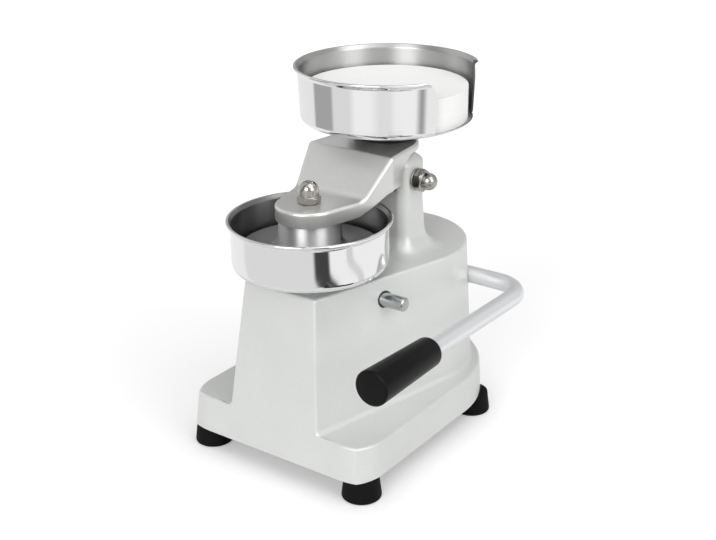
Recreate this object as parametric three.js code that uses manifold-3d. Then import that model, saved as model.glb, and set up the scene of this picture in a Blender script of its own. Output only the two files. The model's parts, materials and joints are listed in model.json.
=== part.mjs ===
// Burger press: a cast stand with a lower forming bowl, a hinged press arm that carries
// the press plate and the upper bowl for paper discs, and a bent side lever.
// Millimetres, +Z up, front towards -Y, lever on the +X side, open linkage at rest closed.
import * as THREE from 'three';
import { mergeVertices } from 'three/addons/utils/BufferGeometryUtils.js';
import Module from 'manifold-3d';

const wasm = await Module();
wasm.setup();

// Shared values
const seatGap = 0.3; // between two faces that rest on each other
const runGap = 0.6; // between faces that slide or turn past each other
const overrun = 6; // how far a cut runs past the face that it opens
const fine = 52; // sides of the large round forms
const round = 36;
const medium = 24;
const coarse = 16;
const filletShares = [0, 0.08, 0.25, 0.55, 1]; // heights at which a hollow fillet has a level
const lipShares = { flare: [0.35, 0.6], inner: 0.2 }; // of the bowl's lip, outwards and upwards

// Stand: rubber feet, skirt, tower and column of one casting
const foot = { height: 20.5, bottomRadius: 18, topRadius: 15.3, edge: 2, pocketDepth: 9 };
const footPlace = { frontX: 84.5, frontY: -115.2, rearX: 82.2, rearY: 71.5 };
const footScrew = { radius: 3, headRadius: 6, headHeight: 4, grip: 14 };
const skirt = {
  frontY: -134.7, frontHalf: 100.4, corner: 28, rearRadius: 100.4, rearY: 29.5,
  height: 32.5, draft: 1.6, edge: 2,
};
const castWall = 5;
const frontLeanShare = 0.13; // how far the front face leans back for its height
const ledge = { frontHalf: 48.6, corner: 5, rearRadius: 84.5, rearY: 40, fillet: 9 };
const deck = { rise: 118.5, frontHalf: 38.2, corner: 4, rearRadius: 77.5, rearY: 42, edge: 3 };
const column = {
  halfX: 42, halfY: 17.5, corner: 10, spread: 2.5, foot: 18, wall: 4.5, cavityHalfX: 28, flare: 13,
  flareHeight: 26, slotFoot: 24.5,
};
const footBoss = { radius: 12 };
const shaftBoss = { radius: 17, length: 18 };

// Hinge of the press arm, a threaded bar with an acorn nut at each end
const hinge = { y: 31.5, rise: 67, radius: 6, ear: 10, armGap: 2, frontWall: 9.5, rearWall: 12.5 };
const washer = { radius: 10.3, thick: 1.5 };
const nut = { acrossFlats: 18.2, hexHeight: 7.6, domeRadius: 7.9, neck: 3.8, holeDepth: 13.5, chamfer: 1 };

// Lower bowl, its seat and the ejector
const bowl = { height: 43.7, wallRadius: 68.7, rimRadius: 72, sheet: 1.4, bend: 7, flare: 3.4 };
const seat = { radius: 33, height: 8.8 };
const bowlScrew = { radius: 2.5, headRadius: 4.6, circle: 22, length: 12, count: 3 };
const bush = { radius: 9.5, drop: 2.2 };
const ejector = { thick: 3, edge: 1, lift: 0.5, rodRadius: 6, spigotRadius: 4, footLength: 9, footThick: 3 };

// Press arm with plate, stud and acorn nut. Places are measured from the hinge and the boss.
const boss = { reach: 102.4, drop: 0.7, radius: 29.5, thick: 14 };
const arm = {
  webStart: 28.9, webRun: 31.2, rise: 31.3, platformHalf: 45.8, platformThick: 6.8,
  tailRadius: 41, tailFront: 6.5, hoodRear: 25.5, hoodCorner: 20, hoodDrop: 21.8, wall: 8,
  pocketHalf: 27, pocketFront: 65.5, pocketRear: 23.5, knuckleRadius: 16, crease: 7,
};
const bellyShares = [[-0.16, 0.01], [-0.1, 0.11], [0.44, 0.5], [0.8, 1.1]]; // of web run and boss
const plateEdgeShares = [0.6, 0.25]; // of the rounding from the plate's face to its top edge
const hubFootShares = [0.35, 0.4]; // of the flare at the foot of the hub
const plate = {
  topRadius: 62.5, bottomRadius: 60.5, thick: 8, hubHeight: 25.5, hubTop: 26.6, hubWaist: 28.2,
  hubFoot: 33, hubFlare: 6,
};
const stud = { radius: 6, depth: 16 };

// Upper bowl with its gap, spacer, stud and paper discs
const paperBowl = {
  offset: 14.6, height: 50.2, topRadius: 80.6, bottomRadius: 78.7, rimRadius: 84, sheet: 1.4, bend: 6,
  flare: 3.2,
};
const paperGap = { fromAngle: -22.5, toAngle: 38, corner: 17, sill: 3 };
const spacer = { height: 15, radius: 30, flange: 36, flangeThick: 3 };
const bowlStud = { radius: 5, depth: 13 };
const paper = { radius: 73.6, height: 30 };

// Side lever
const lever = {
  behind: 56.5, drop: 39, x: 128.2, radius: 8, bend: 29, tiltAngle: 1, leftEnd: -45, reach: 165,
};
const grip = { rearRadius: 13, frontRadius: 15.4, length: 85.5, socket: 75, rearEdge: 4.5, frontEdge: 2 };
const leverBush = { radius: 11.5, inner: 30, outer: 46 };

// Linkage inside the stand. Angles are below the forward direction, in degrees.
const travel = { leverAngle: 65, armAngle: 52, rockerAngle: 50 };
const strap = { thick: 6, halfWidth: 6.5, slimHalf: 4.6 };
const linkBowShares = [[0.36, 0.25], [0.73, 0.6]]; // of the way from crank pin to lug pin
const looseGap = 1.4; // at the two pivots where the closed linkage is opened
const pinRadius = 2.75;
const lug = { reach: 22, midAngle: 50, thick: 6.5, gap: 4, eye: 6.5, root: 12 };
const crank = { hubRadius: 12.5, hubLength: 16, pushMidAngle: 90, eye: 6.5 };
const rocker = {
  behind: 27.9, drop: 19.5, frontReach: 38, frontAngle: 50, downReach: 33, shaftRadius: 7.2, thick: 6.4,
  hubRadius: 12, hubHalf: 16, shaftLeft: -53, shaftRight: 82, chamfer: 1.5,
};
const sleeve = { radius: 7, halfLength: 5.4 };
const clip = { radius: 10, thick: 1.4 };

// Places that follow from the sizes above
const skirtTop = foot.height + skirt.height;
const deckZ = skirtTop + deck.rise;
const hingeZ = deckZ + hinge.rise;
const bowlY = hinge.y - boss.reach;
const bowlFloorZ = deckZ + seat.height + seatGap;
const bossTop = hingeZ - boss.drop;
const bossBottom = bossTop - boss.thick;
const webFootY = bowlY + arm.webStart;
const platformY = webFootY + arm.webRun;
const platformTop = hingeZ + arm.rise;
const earRadius = arm.rise - arm.platformThick - hinge.armGap / 2; // ears end below the platform
const tailY = hinge.y - arm.tailFront;
const hoodY = hinge.y + arm.hoodRear;
const pocketFrontY = hinge.y - arm.pocketFront;
const pocketRearY = hinge.y - arm.pocketRear;
const hubTopZ = bossBottom - seatGap;
const plateTop = hubTopZ - plate.hubHeight;
const plateBottom = plateTop - plate.thick;
const paperBowlY = hinge.y + paperBowl.offset;
const paperFloorZ = platformTop + spacer.height + 2 * seatGap;
const leverY = hinge.y + lever.behind;
const leverZ = deckZ - lever.drop;
const gripRearY = leverY - lever.reach;
const hingeAxis = [hinge.y, hingeZ];
const leverAxis = [leverY, leverZ];
const rockerAxis = [bowlY + rocker.behind, deckZ - rocker.drop];
const crankReach = lug.reach * sine(travel.armAngle / 2) / sine(travel.leverAngle / 2);
const pushReach = rocker.downReach * sine(travel.rockerAngle / 2) / sine(travel.leverAngle / 2);
const lugPin = polar(hingeAxis, lug.reach, lug.midAngle + travel.armAngle / 2);
const crankPin = polar(leverAxis, crankReach, lug.midAngle + travel.leverAngle / 2);
const pushPin = polar(leverAxis, pushReach, crank.pushMidAngle + travel.leverAngle / 2);
const rockerPin = polar(rockerAxis, rocker.downReach, crank.pushMidAngle + travel.rockerAngle / 2);
const liftPin = polar(rockerAxis, rocker.frontReach, rocker.frontAngle);
const rodFootZ = liftPin[1] + sleeve.radius + runGap;
const discBottomZ = bowlFloorZ + bowl.sheet + ejector.lift;
const linkFace = strap.thick / 2 + runGap; // inner face of the crank, beside the press link
const rockerFace = ejector.rodRadius + runGap;
const pushFace = rockerFace + rocker.thick + runGap; // inner face of the push link

// Arithmetic
function sine(degrees) {
  return Math.sin(THREE.MathUtils.degToRad(degrees));
}

function cosine(degrees) {
  return Math.cos(THREE.MathUtils.degToRad(degrees));
}

// Point [y, z] at a reach from a pivot, at an angle below the forward direction
function polar(pivot, reach, angle) {
  return [pivot[0] - reach * cosine(angle), pivot[1] - reach * sine(angle)];
}

function mix(a, b, share) {
  return a + (b - a) * share;
}

// Points of an arc about [x, y], from one angle to another in degrees
function arc(x, y, radius, from, to, steps) {
  return Array.from({ length: steps + 1 }, (_, i) => {
    const angle = mix(from, to, i / steps);
    return [x + radius * cosine(angle), y + radius * sine(angle)];
  });
}

// Merged mesh of one closed body with its faces pointing out
function closed(geometry) {
  const bare = new THREE.BufferGeometry();
  bare.setAttribute('position', geometry.getAttribute('position').clone());
  if (geometry.index) bare.setIndex(geometry.index.clone());
  const merged = mergeVertices(bare, seatGap / 1000);
  const place = merged.getAttribute('position');
  const corner = [new THREE.Vector3(), new THREE.Vector3(), new THREE.Vector3()];
  const kept = [];
  let volume = 0;
  for (let i = 0; i < merged.index.count; i += 3) {
    const ids = [0, 1, 2].map((k) => merged.index.getX(i + k));
    if (ids[0] === ids[1] || ids[1] === ids[2] || ids[2] === ids[0]) continue;
    ids.forEach((id, k) => corner[k].fromBufferAttribute(place, id));
    volume += corner[0].dot(corner[1].clone().cross(corner[2]));
    kept.push(ids);
  }
  const facing = volume > 0 ? kept : kept.map(([a, b, c]) => [a, c, b]);
  merged.setIndex(facing.flat());
  return merged;
}

function solid(geometry) {
  const body = closed(geometry);
  return new wasm.Manifold(new wasm.Mesh({
    numProp: 3,
    vertProperties: new Float32Array(body.getAttribute('position').array),
    triVerts: new Uint32Array(body.index.array),
  }));
}

function geometryOf(manifold) {
  const mesh = manifold.getMesh();
  const geometry = new THREE.BufferGeometry();
  const count = mesh.vertProperties.length / mesh.numProp;
  const place = new Float32Array(count * 3);
  for (let i = 0; i < count; i += 1) {
    for (let k = 0; k < 3; k += 1) place[3 * i + k] = mesh.vertProperties[mesh.numProp * i + k];
  }
  geometry.setAttribute('position', new THREE.BufferAttribute(place, 3));
  geometry.setIndex(Array.from(mesh.triVerts));
  return geometry;
}

function join(...solids) {
  return solids.reduce((whole, next) => whole.add(next));
}

function cut(whole, ...solids) {
  return solids.reduce((left, next) => left.subtract(next), whole);
}

// Basic forms
function rodX(radius, from, to, y, z, sides = medium) {
  const form = new THREE.CylinderGeometry(radius, radius, to - from, sides);
  return form.rotateZ(-Math.PI / 2).translate((from + to) / 2, y, z);
}

function rodZ(radius, from, to, x, y, sides = medium) {
  const form = new THREE.CylinderGeometry(radius, radius, to - from, sides);
  return form.rotateX(Math.PI / 2).translate(x, y, (from + to) / 2);
}

function block(x, y, z) {
  const form = new THREE.BoxGeometry(x[1] - x[0], y[1] - y[0], z[1] - z[0]);
  return form.translate((x[0] + x[1]) / 2, (y[0] + y[1]) / 2, (z[0] + z[1]) / 2);
}

// Outline [x, y] raised from one height to another
function slab(points, from, to) {
  const shape = new THREE.Shape(points.map(([x, y]) => new THREE.Vector2(x, y)));
  const form = new THREE.ExtrudeGeometry(shape, { depth: to - from, bevelEnabled: false });
  return form.translate(0, 0, from);
}

// Side view [y, z] given a width along X
function profile(points, from, to) {
  const toSide = new THREE.Matrix4().makeBasis(
    new THREE.Vector3(0, 1, 0), new THREE.Vector3(0, 0, 1), new THREE.Vector3(1, 0, 0));
  return slab(points, from, to).applyMatrix4(toSide);
}

// Turned form from a profile [radius, z], axis along Z
function turned(points, sides = medium) {
  const line = points.map(([radius, z]) => new THREE.Vector2(radius, z));
  return new THREE.LatheGeometry(line, sides).rotateX(Math.PI / 2);
}

// Closed skin over rings of as many points each, with a flat fan at both ends
function skin(rings) {
  const size = rings[0].length;
  const centre = (ring) => ring.reduce((sum, p) => sum.add(p), new THREE.Vector3()).divideScalar(size);
  const points = [...rings.flat(), centre(rings[0]), centre(rings[rings.length - 1])];
  const faces = [];
  const first = points.length - 2;
  const last = (rings.length - 1) * size;
  for (let j = 0; j < size; j += 1) {
    const k = (j + 1) % size;
    for (let i = 0; i < last; i += size) {
      faces.push(i + j, i + k, i + size + k, i + j, i + size + k, i + size + j);
    }
    faces.push(first, k, j, first + 1, last + j, last + k);
  }
  const form = new THREE.BufferGeometry().setFromPoints(points);
  form.setIndex(faces);
  return form;
}

// Levels [{ z, points }] of one outline that changes with height
function loft(levels) {
  return skin(levels.map(({ z, points }) => points.map(([x, y]) => new THREE.Vector3(x, y, z))));
}

// Plan outline of skirt and tower: straight front, rounded front corners, sides that run
// tangent into a round rear. The inset moves the whole outline inwards.
function standOutline(size, inset) {
  const side = Math.hypot(size.frontHalf, size.frontY - size.rearY);
  const toCorner = THREE.MathUtils.radToDeg(Math.atan2(size.frontY - size.rearY, size.frontHalf));
  const tangent = toCorner + THREE.MathUtils.radToDeg(Math.acos(size.rearRadius / side));
  const rear = size.rearRadius - inset;
  const front = size.frontY + inset;
  const corner = Math.max(size.corner - inset, size.corner / 4);
  const centreX = (rear - corner - sine(tangent) * (front + corner - size.rearY)) / cosine(tangent);
  const right = arc(centreX, front + corner, corner, -90, tangent, 5);
  const back = arc(0, size.rearY, rear, tangent, 180 - tangent, fine / 2);
  const left = arc(-centreX, front + corner, corner, 180 - tangent, 270, 5);
  return [...right, ...back, ...left];
}

function columnOutline(halfX, halfY, corner) {
  const x = halfX - corner;
  const y = halfY - corner;
  return [[x, -y, -90], [x, y, 0], [-x, y, 90], [-x, -y, 180]].flatMap(([cx, cy, from]) =>
    arc(cx, hinge.y + cy, corner, from, from + 90, 5));
}

// How far a quarter-round fillet stands out, by height above the surface that it meets
function filletShare(share) {
  return 1 - Math.sqrt(1 - (1 - share) ** 2);
}

// The front face of skirt and tower is one leaning plane
function frontAt(z) {
  return skirt.frontY + frontLeanShare * (z - foot.height);
}

function skirtSize(z, inset) {
  const frontHalf = skirt.frontHalf - inset;
  const rearRadius = skirt.rearRadius - inset;
  return { frontY: frontAt(z), frontHalf, corner: skirt.corner, rearRadius, rearY: skirt.rearY };
}

// Skirt with a rounded upper edge
function skirtForm() {
  const straight = skirtTop - skirt.edge;
  const levels = [{ z: foot.height, points: standOutline(skirtSize(foot.height, 0), 0) }];
  [0, 0.5, 1].forEach((share) => {
    const z = straight + skirt.edge * sine(90 * share);
    const points = standOutline(skirtSize(z, skirt.draft), skirt.edge * (1 - cosine(90 * share)));
    levels.push({ z, points });
  });
  return loft(levels);
}

function towerSize(z) {
  const share = (z - skirtTop) / (deckZ - skirtTop);
  const keys = ['frontHalf', 'corner', 'rearRadius', 'rearY'];
  const size = Object.fromEntries(keys.map((key) => [key, mix(ledge[key], deck[key], share)]));
  return { ...size, frontY: frontAt(z) - seatGap };
}

// Tower with a rounded edge round the deck
function towerForm() {
  const low = skirtTop - castWall;
  const levels = [{ z: low, points: standOutline(towerSize(low), 0) }];
  [0, 0.5, 1].forEach((share) => {
    const z = deckZ - deck.edge + deck.edge * sine(90 * share);
    const points = standOutline(towerSize(z), deck.edge * (1 - cosine(90 * share)));
    levels.push({ z, points });
  });
  return loft(levels);
}

// Hollow fillet between ledge and tower, which ends at the skirt's edge and the front face
function ledgeFillet() {
  const low = skirtTop - castWall / 2;
  const high = skirtTop + ledge.fillet;
  const levels = filletShares.map((share) => {
    const z = skirtTop + ledge.fillet * share;
    return { z, points: standOutline(towerSize(z), -ledge.fillet * filletShare(share)) };
  });
  levels.unshift({ z: low, points: levels[0].points });
  const inset = skirt.draft + skirt.edge;
  const limit = [low - overrun, high + overrun].map((z) => (
    { z, points: standOutline(skirtSize(z, inset), 0) }));
  return solid(loft(levels)).intersect(solid(loft(limit)));
}

// Column that widens downwards and runs out into the deck
function columnForm() {
  const levels = [];
  const earFoot = hingeZ - column.halfY;
  const at = (z, extra) => {
    const spread = column.spread * Math.max(0, earFoot - z) / (earFoot - deckZ) + extra;
    return { z, points: columnOutline(column.halfX + spread, column.halfY + spread, column.corner + extra) };
  };
  filletShares.forEach((share) => {
    levels.push(at(deckZ + column.foot * share, column.foot * filletShare(share)));
  });
  levels.unshift({ z: deckZ - castWall, points: levels[0].points });
  levels.push(at(earFoot, 0), at(hingeZ, 0));
  return loft(levels);
}

// Ears that stand up round the hinge, with the outline of the column below
function ears() {
  const high = hingeZ + earRadius + overrun;
  const prism = solid(slab(columnOutline(column.halfX, column.halfY, column.corner), deckZ, high));
  const top = solid(rodX(earRadius, -column.halfX - overrun, column.halfX + overrun, ...hingeAxis, round));
  const inner = column.halfX - hinge.ear;
  const gap = block([-inner, inner], [hinge.y - column.foot - overrun, hinge.y + column.foot + overrun],
    [deckZ - overrun, high]);
  return cut(prism.intersect(top), solid(gap));
}

function standOuter() {
  return join(
    solid(skirtForm()),
    solid(towerForm()),
    ledgeFillet(),
    solid(columnForm()),
    solid(rodZ(seat.radius, deckZ - castWall, bowlFloorZ - seatGap, 0, bowlY, round)),
  );
}

// Open hollow of the casting, with plain walls
function standCavity() {
  const ceiling = deckZ - castWall;
  const skirtCeiling = skirtTop - castWall;
  const low = foot.height - overrun;
  const skirtHollow = loft([
    { z: low, points: standOutline(skirtSize(low, 0), castWall) },
    { z: skirtCeiling, points: standOutline(skirtSize(skirtCeiling, skirt.draft), castWall) },
  ]);
  const towerHollow = loft([
    { z: skirtCeiling - castWall, points: standOutline(towerSize(skirtCeiling - castWall), castWall) },
    { z: ceiling, points: standOutline(towerSize(ceiling), castWall) },
  ]);
  const halfY = column.halfY - column.wall;
  const shaft = (z, flare) => (
    { z, points: columnOutline(column.cavityHalfX + flare, halfY + flare, column.corner + flare) });
  const columnHollow = loft([
    shaft(ceiling - overrun, column.flare), shaft(ceiling, column.flare),
    shaft(ceiling + column.flareHeight, 0), shaft(hingeZ + overrun, 0),
  ]);
  return join(solid(skirtHollow), solid(towerHollow), solid(columnHollow));
}

function footPlaces() {
  return [
    ['front_right', footPlace.frontX, footPlace.frontY], ['front_left', -footPlace.frontX, footPlace.frontY],
    ['rear_right', footPlace.rearX, footPlace.rearY], ['rear_left', -footPlace.rearX, footPlace.rearY],
  ];
}

function bowlScrewPlaces() {
  return Array.from({ length: bowlScrew.count }, (_, i) => {
    const angle = 90 + 360 * i / bowlScrew.count;
    return [bowlScrew.circle * cosine(angle), bowlY + bowlScrew.circle * sine(angle)];
  });
}

function bodyCasting() {
  const outer = standOuter();
  const wide = skirt.frontHalf;
  const bossShapes = join(
    ...footPlaces().map(([, x, y]) => solid(rodZ(footBoss.radius, foot.height, skirtTop, x, y, coarse))),
    solid(rodX(shaftBoss.radius, leverBush.inner, wide, ...leverAxis)),
    solid(rodX(shaftBoss.radius, -wide, -leverBush.inner, ...leverAxis)),
    solid(rodX(rocker.hubRadius, rocker.hubHalf + shaftBoss.length, wide, ...rockerAxis)),
    solid(rodX(rocker.hubRadius, -wide, -rocker.hubHalf - shaftBoss.length, ...rockerAxis)),
  ).intersect(outer);
  const inner = column.halfX - hinge.ear;
  const reach = column.halfY + column.foot;
  const slotHalf = lug.gap + lug.thick + looseGap;
  const holes = [
    ...footPlaces().map(([, x, y]) => rodZ(footScrew.radius + seatGap, foot.height - overrun,
      foot.height + footScrew.grip + runGap, x, y, coarse)),
    rodX(leverBush.radius + seatGap, -leverBush.outer - seatGap, leverBush.outer + seatGap, ...leverAxis),
    rodX(lever.radius + runGap, leverBush.inner, wide, ...leverAxis),
    rodX(rocker.shaftRadius + runGap, rocker.shaftLeft - seatGap, wide, ...rockerAxis),
    rodX(hinge.radius + seatGap, -column.halfX - overrun, column.halfX + overrun, ...hingeAxis, coarse),
    rodZ(bush.radius + seatGap, deckZ - castWall - overrun, bowlFloorZ + overrun, 0, bowlY),
    ...bowlScrewPlaces().map(([x, y]) => rodZ(bowlScrew.radius + seatGap,
      bowlFloorZ - bowlScrew.length - seatGap, bowlFloorZ + overrun, x, y, coarse)),
    rodX(arm.knuckleRadius + hinge.armGap, -inner, inner, ...hingeAxis, round),
    block([-inner, inner], [hinge.y - reach, hinge.y], [hingeZ - hinge.frontWall, hingeZ + reach]),
    block([-inner, inner], [hinge.y - runGap, hinge.y + reach], [hingeZ - hinge.rearWall, hingeZ + reach]),
    block([-slotHalf, slotHalf], [hinge.y - reach, hinge.y], [deckZ + column.slotFoot, hingeZ + reach]),
  ];
  const shell = outer.add(ears()).subtract(standCavity());
  return cut(join(shell, bossShapes), ...holes.map(solid));
}

function rubberFoot() {
  const bore = footScrew.radius + seatGap;
  const pocket = footScrew.headRadius + runGap;
  const top = foot.height - seatGap;
  return turned([
    [pocket, 0], [foot.bottomRadius - foot.edge / 2, 0], [foot.bottomRadius, foot.edge],
    [foot.topRadius, top], [bore, top], [bore, foot.pocketDepth], [pocket, foot.pocketDepth], [pocket, 0],
  ], 28);
}

function footScrewForm() {
  const under = foot.pocketDepth - seatGap;
  const head = under - footScrew.headHeight;
  const top = foot.height + footScrew.grip;
  return turned([
    [0, head], [footScrew.headRadius, head], [footScrew.headRadius, under],
    [footScrew.radius, under], [footScrew.radius, top], [0, top],
  ], coarse);
}

// Sheet bowl: floor, rounded bottom edge, wall and a lip flared outwards.
// The hole in the floor is zero for a closed floor.
function bowlProfile(size, floor, bottomRadius, topRadius, hole) {
  const bend = size.bend;
  const rim = floor + size.height;
  const flareZ = rim - size.flare;
  const outer = [
    [hole, floor], ...arc(bottomRadius - bend, floor + bend, bend, -90, 0, 3),
    [topRadius, flareZ],
    [mix(topRadius, size.rimRadius, lipShares.flare[0]), mix(flareZ, rim, lipShares.flare[1])],
    [size.rimRadius, rim - size.sheet / 2], [size.rimRadius, rim],
  ];
  const in_ = bend - size.sheet;
  const inner = [
    [mix(topRadius, size.rimRadius, lipShares.inner) - size.sheet / 2, rim - size.sheet / 2],
    [topRadius - size.sheet, flareZ],
    ...arc(bottomRadius - bend, floor + bend, in_, 0, -90, 3), [hole, floor + size.sheet],
  ];
  const ring = [...outer, ...inner];
  return hole > 0 ? [...ring, ring[0]] : ring;
}

function lowerBowl() {
  const hole = ejector.rodRadius + runGap;
  const shell = solid(turned(bowlProfile(bowl, bowlFloorZ, bowl.wallRadius, bowl.wallRadius, hole), fine));
  const holes = bowlScrewPlaces().map(([x, y]) => solid(rodZ(bowlScrew.headRadius + seatGap,
    bowlFloorZ - overrun, bowlFloorZ + bowl.sheet + overrun, x, y - bowlY, coarse)));
  return geometryOf(cut(shell, ...holes));
}

// Countersunk screw, its head level with the floor of the bowl
function bowlScrewForm() {
  const top = bowlFloorZ + bowl.sheet;
  const neck = bowlFloorZ - seatGap;
  return turned([
    [0, bowlFloorZ - bowlScrew.length], [bowlScrew.radius, bowlFloorZ - bowlScrew.length],
    [bowlScrew.radius, neck], [bowlScrew.headRadius, top], [0, top],
  ], coarse);
}

function ejectorBush() {
  const bottom = deckZ - castWall - bush.drop;
  const top = bowlFloorZ - seatGap;
  const bore = ejector.rodRadius + seatGap;
  return turned([[bore, bottom], [bush.radius, bottom], [bush.radius, top], [bore, top], [bore, bottom]]);
}

// Disc on the floor of the lower bowl, its lower edge rounded like the bowl
function ejectorDisc() {
  const top = discBottomZ + ejector.thick;
  const bore = ejector.spigotRadius + seatGap;
  const bend = bowl.bend - bowl.sheet - ejector.lift;
  const rim = THREE.MathUtils.radToDeg(Math.asin((bowlFloorZ + bowl.bend - top) / bend));
  const edge = arc(bowl.wallRadius - bowl.bend, bowlFloorZ + bowl.bend, bend, -90, -rim, 3);
  return turned([
    [bore, discBottomZ], ...edge, [edge[3][0] - ejector.edge, top], [bore, top], [bore, discBottomZ],
  ], fine);
}

// Rod with a spigot in the disc, and a flat foot that the sleeve on the rocker lifts
function ejectorRod() {
  const shoulder = discBottomZ - seatGap;
  const rod = turned([
    [0, rodFootZ], [ejector.rodRadius, rodFootZ], [ejector.rodRadius, shoulder],
    [ejector.spigotRadius, shoulder], [ejector.spigotRadius, discBottomZ + ejector.thick],
    [0, discBottomZ + ejector.thick],
  ], 24);
  const half = ejector.rodRadius - seatGap;
  const bar = block([-half, half], [-ejector.rodRadius - ejector.footLength, ejector.rodRadius],
    [rodFootZ, rodFootZ + ejector.footThick]);
  return geometryOf(join(solid(rod), solid(bar)));
}

// Acorn nut: hexagon with a chamfered foot, neck and dome, blind hole from below
function acornNut(holeRadius) {
  const hexRadius = nut.acrossFlats / 2 / cosine(30);
  const hexagon = new THREE.CylinderGeometry(hexRadius, hexRadius, nut.hexHeight, 6)
    .rotateX(Math.PI / 2).translate(0, 0, nut.hexHeight / 2);
  const turnedLimit = turned([
    [0, 0], [nut.acrossFlats / 2, 0], [hexRadius, nut.chamfer], [hexRadius, nut.hexHeight - nut.chamfer],
    [nut.acrossFlats / 2, nut.hexHeight], [0, nut.hexHeight],
  ], 24);
  const shoulder = nut.hexHeight + nut.neck;
  const dome = turned([
    [0, nut.hexHeight / 2], [nut.domeRadius, nut.hexHeight / 2],
    ...arc(0, shoulder, nut.domeRadius, 0, 90, 5),
  ], 24);
  const hole = rodZ(holeRadius, -overrun, nut.holeDepth + seatGap, 0, 0, coarse);
  return geometryOf(cut(join(solid(hexagon).intersect(solid(turnedLimit)), solid(dome)), solid(hole)));
}

function ring(inner, outer, thick, sides = medium) {
  return turned([[inner, 0], [outer, 0], [outer, thick], [inner, thick], [inner, 0]], sides);
}

// Side view of the press arm: boss, web that climbs at the slope seen, platform, tail and belly
function armSide() {
  const bossFront = bowlY - boss.radius - overrun;
  const run = platformY - webFootY;
  const rear = tailY + arm.tailRadius + overrun;
  const hoodZ = platformTop - arm.hoodDrop;
  const belly = bellyShares.map(([y, z]) => [webFootY + run * y, bossBottom + boss.thick * z]);
  const slope = (platformTop - bossTop) / run;
  const creaseZ = arm.crease * slope / 2;
  return [
    [bossFront, bossBottom], ...belly, [hinge.y, hingeZ], [hinge.y + arm.knuckleRadius / 2, hoodZ],
    [rear, hoodZ], [rear, platformTop], [platformY, platformTop],
    [webFootY + arm.crease / 2, bossTop + creaseZ], [webFootY - arm.crease, bossTop],
    [bossFront, bossTop],
  ];
}

// Plan of the press arm: round boss, sides that widen to the platform edge, round tail
function armPlan(tail) {
  const half = arm.platformHalf;
  const run = platformY - bowlY;
  const side = Math.hypot(half, run);
  const lean = THREE.MathUtils.radToDeg(Math.acos(boss.radius / side) - Math.atan2(run, half));
  const nose = arc(0, bowlY, boss.radius, 180 + lean, 360 - lean, 24);
  return [...nose, [half, platformY], ...tail, [-half, platformY]];
}

function pressArm() {
  const wide = arm.platformHalf + overrun;
  const side = solid(profile(armSide(), -wide, wide));
  const underside = platformTop - arm.platformThick;
  const low = deckZ;
  const high = platformTop + overrun;
  const inner = column.halfX - hinge.ear - seatGap;
  const corner = arm.hoodCorner;
  const hood = [
    [arm.tailRadius, tailY], [inner, tailY],
    ...arc(inner - corner, hoodY - corner, corner, 0, 90, 6),
    ...arc(corner - inner, hoodY - corner, corner, 90, 180, 6),
    [-inner, tailY], [-arm.tailRadius, tailY],
  ];
  const tail = arc(0, tailY, arm.tailRadius, 0, 180, 24);
  const earSpace = [[inner, wide], [-wide, -inner]].map(([a, b]) =>
    solid(rodX(earRadius + hinge.armGap, a, b, ...hingeAxis, round)));
  const body = cut(side.intersect(solid(slab(armPlan(hood), low, underside + seatGap))), ...earSpace);
  const platform = side.intersect(solid(slab(armPlan(tail), underside, high)));
  const knuckle = rodX(arm.knuckleRadius, -inner, inner, ...hingeAxis, round);
  const lugs = [lug.gap, -lug.gap - lug.thick].map((x) =>
    strapForm(hingeAxis, lugPin, lug.root, lug.eye, x, x + lug.thick));
  const webSlope = (platformTop - bossTop) / (platformY - webFootY);
  const pocketTop = underside - seatGap;
  const drop = arm.wall * Math.hypot(1, webSlope);
  const webZ = (y) => platformTop + (y - platformY) * webSlope - drop;
  const pocket = profile([
    [pocketFrontY, low], [pocketRearY, low], [pocketRearY, pocketTop],
    [platformY + (pocketTop - platformTop + drop) / webSlope, pocketTop],
    [pocketFrontY, webZ(pocketFrontY)],
  ], -arm.pocketHalf, arm.pocketHalf);
  const holes = [
    pocket,
    rodX(strap.halfWidth + looseGap + runGap, -lug.gap, lug.gap, ...lugPin),
    rodX(hinge.radius + seatGap, -wide, wide, ...hingeAxis, coarse),
    rodX(pinRadius + seatGap, -wide, wide, ...lugPin, coarse),
    rodZ(stud.radius + seatGap, low, high, 0, bowlY, coarse),
    rodZ(bowlStud.radius + seatGap, platformTop - bowlStud.depth - seatGap, high, 0, paperBowlY, coarse),
  ];
  const whole = join(body, platform, solid(knuckle), ...lugs.map(solid));
  return geometryOf(cut(whole, ...holes.map(solid)));
}

// Turned press plate with its flared hub and a blind hole for the stud
function pressPlate() {
  const hole = stud.radius + seatGap;
  const holeZ = hubTopZ - stud.depth - seatGap;
  const flareZ = plateTop + plate.hubFlare;
  const [edgeOut, edgeUp] = plateEdgeShares;
  const [footOut, footUp] = hubFootShares;
  return turned([
    [0, plateBottom], [plate.bottomRadius, plateBottom],
    [mix(plate.bottomRadius, plate.topRadius, edgeOut), mix(plateBottom, plateTop, edgeUp)],
    [plate.topRadius, plateTop], [plate.hubFoot, plateTop],
    [mix(plate.hubWaist, plate.hubFoot, footOut), mix(plateTop, flareZ, footUp)],
    [plate.hubWaist, flareZ],
    [plate.hubTop, hubTopZ], [hole, hubTopZ], [hole, holeZ], [0, holeZ],
  ], fine);
}

function studForm() {
  const bottom = hubTopZ - stud.depth;
  const top = bossTop + seatGap + nut.holeDepth;
  return rodZ(stud.radius, bottom, top, 0, 0, 20);
}

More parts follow.
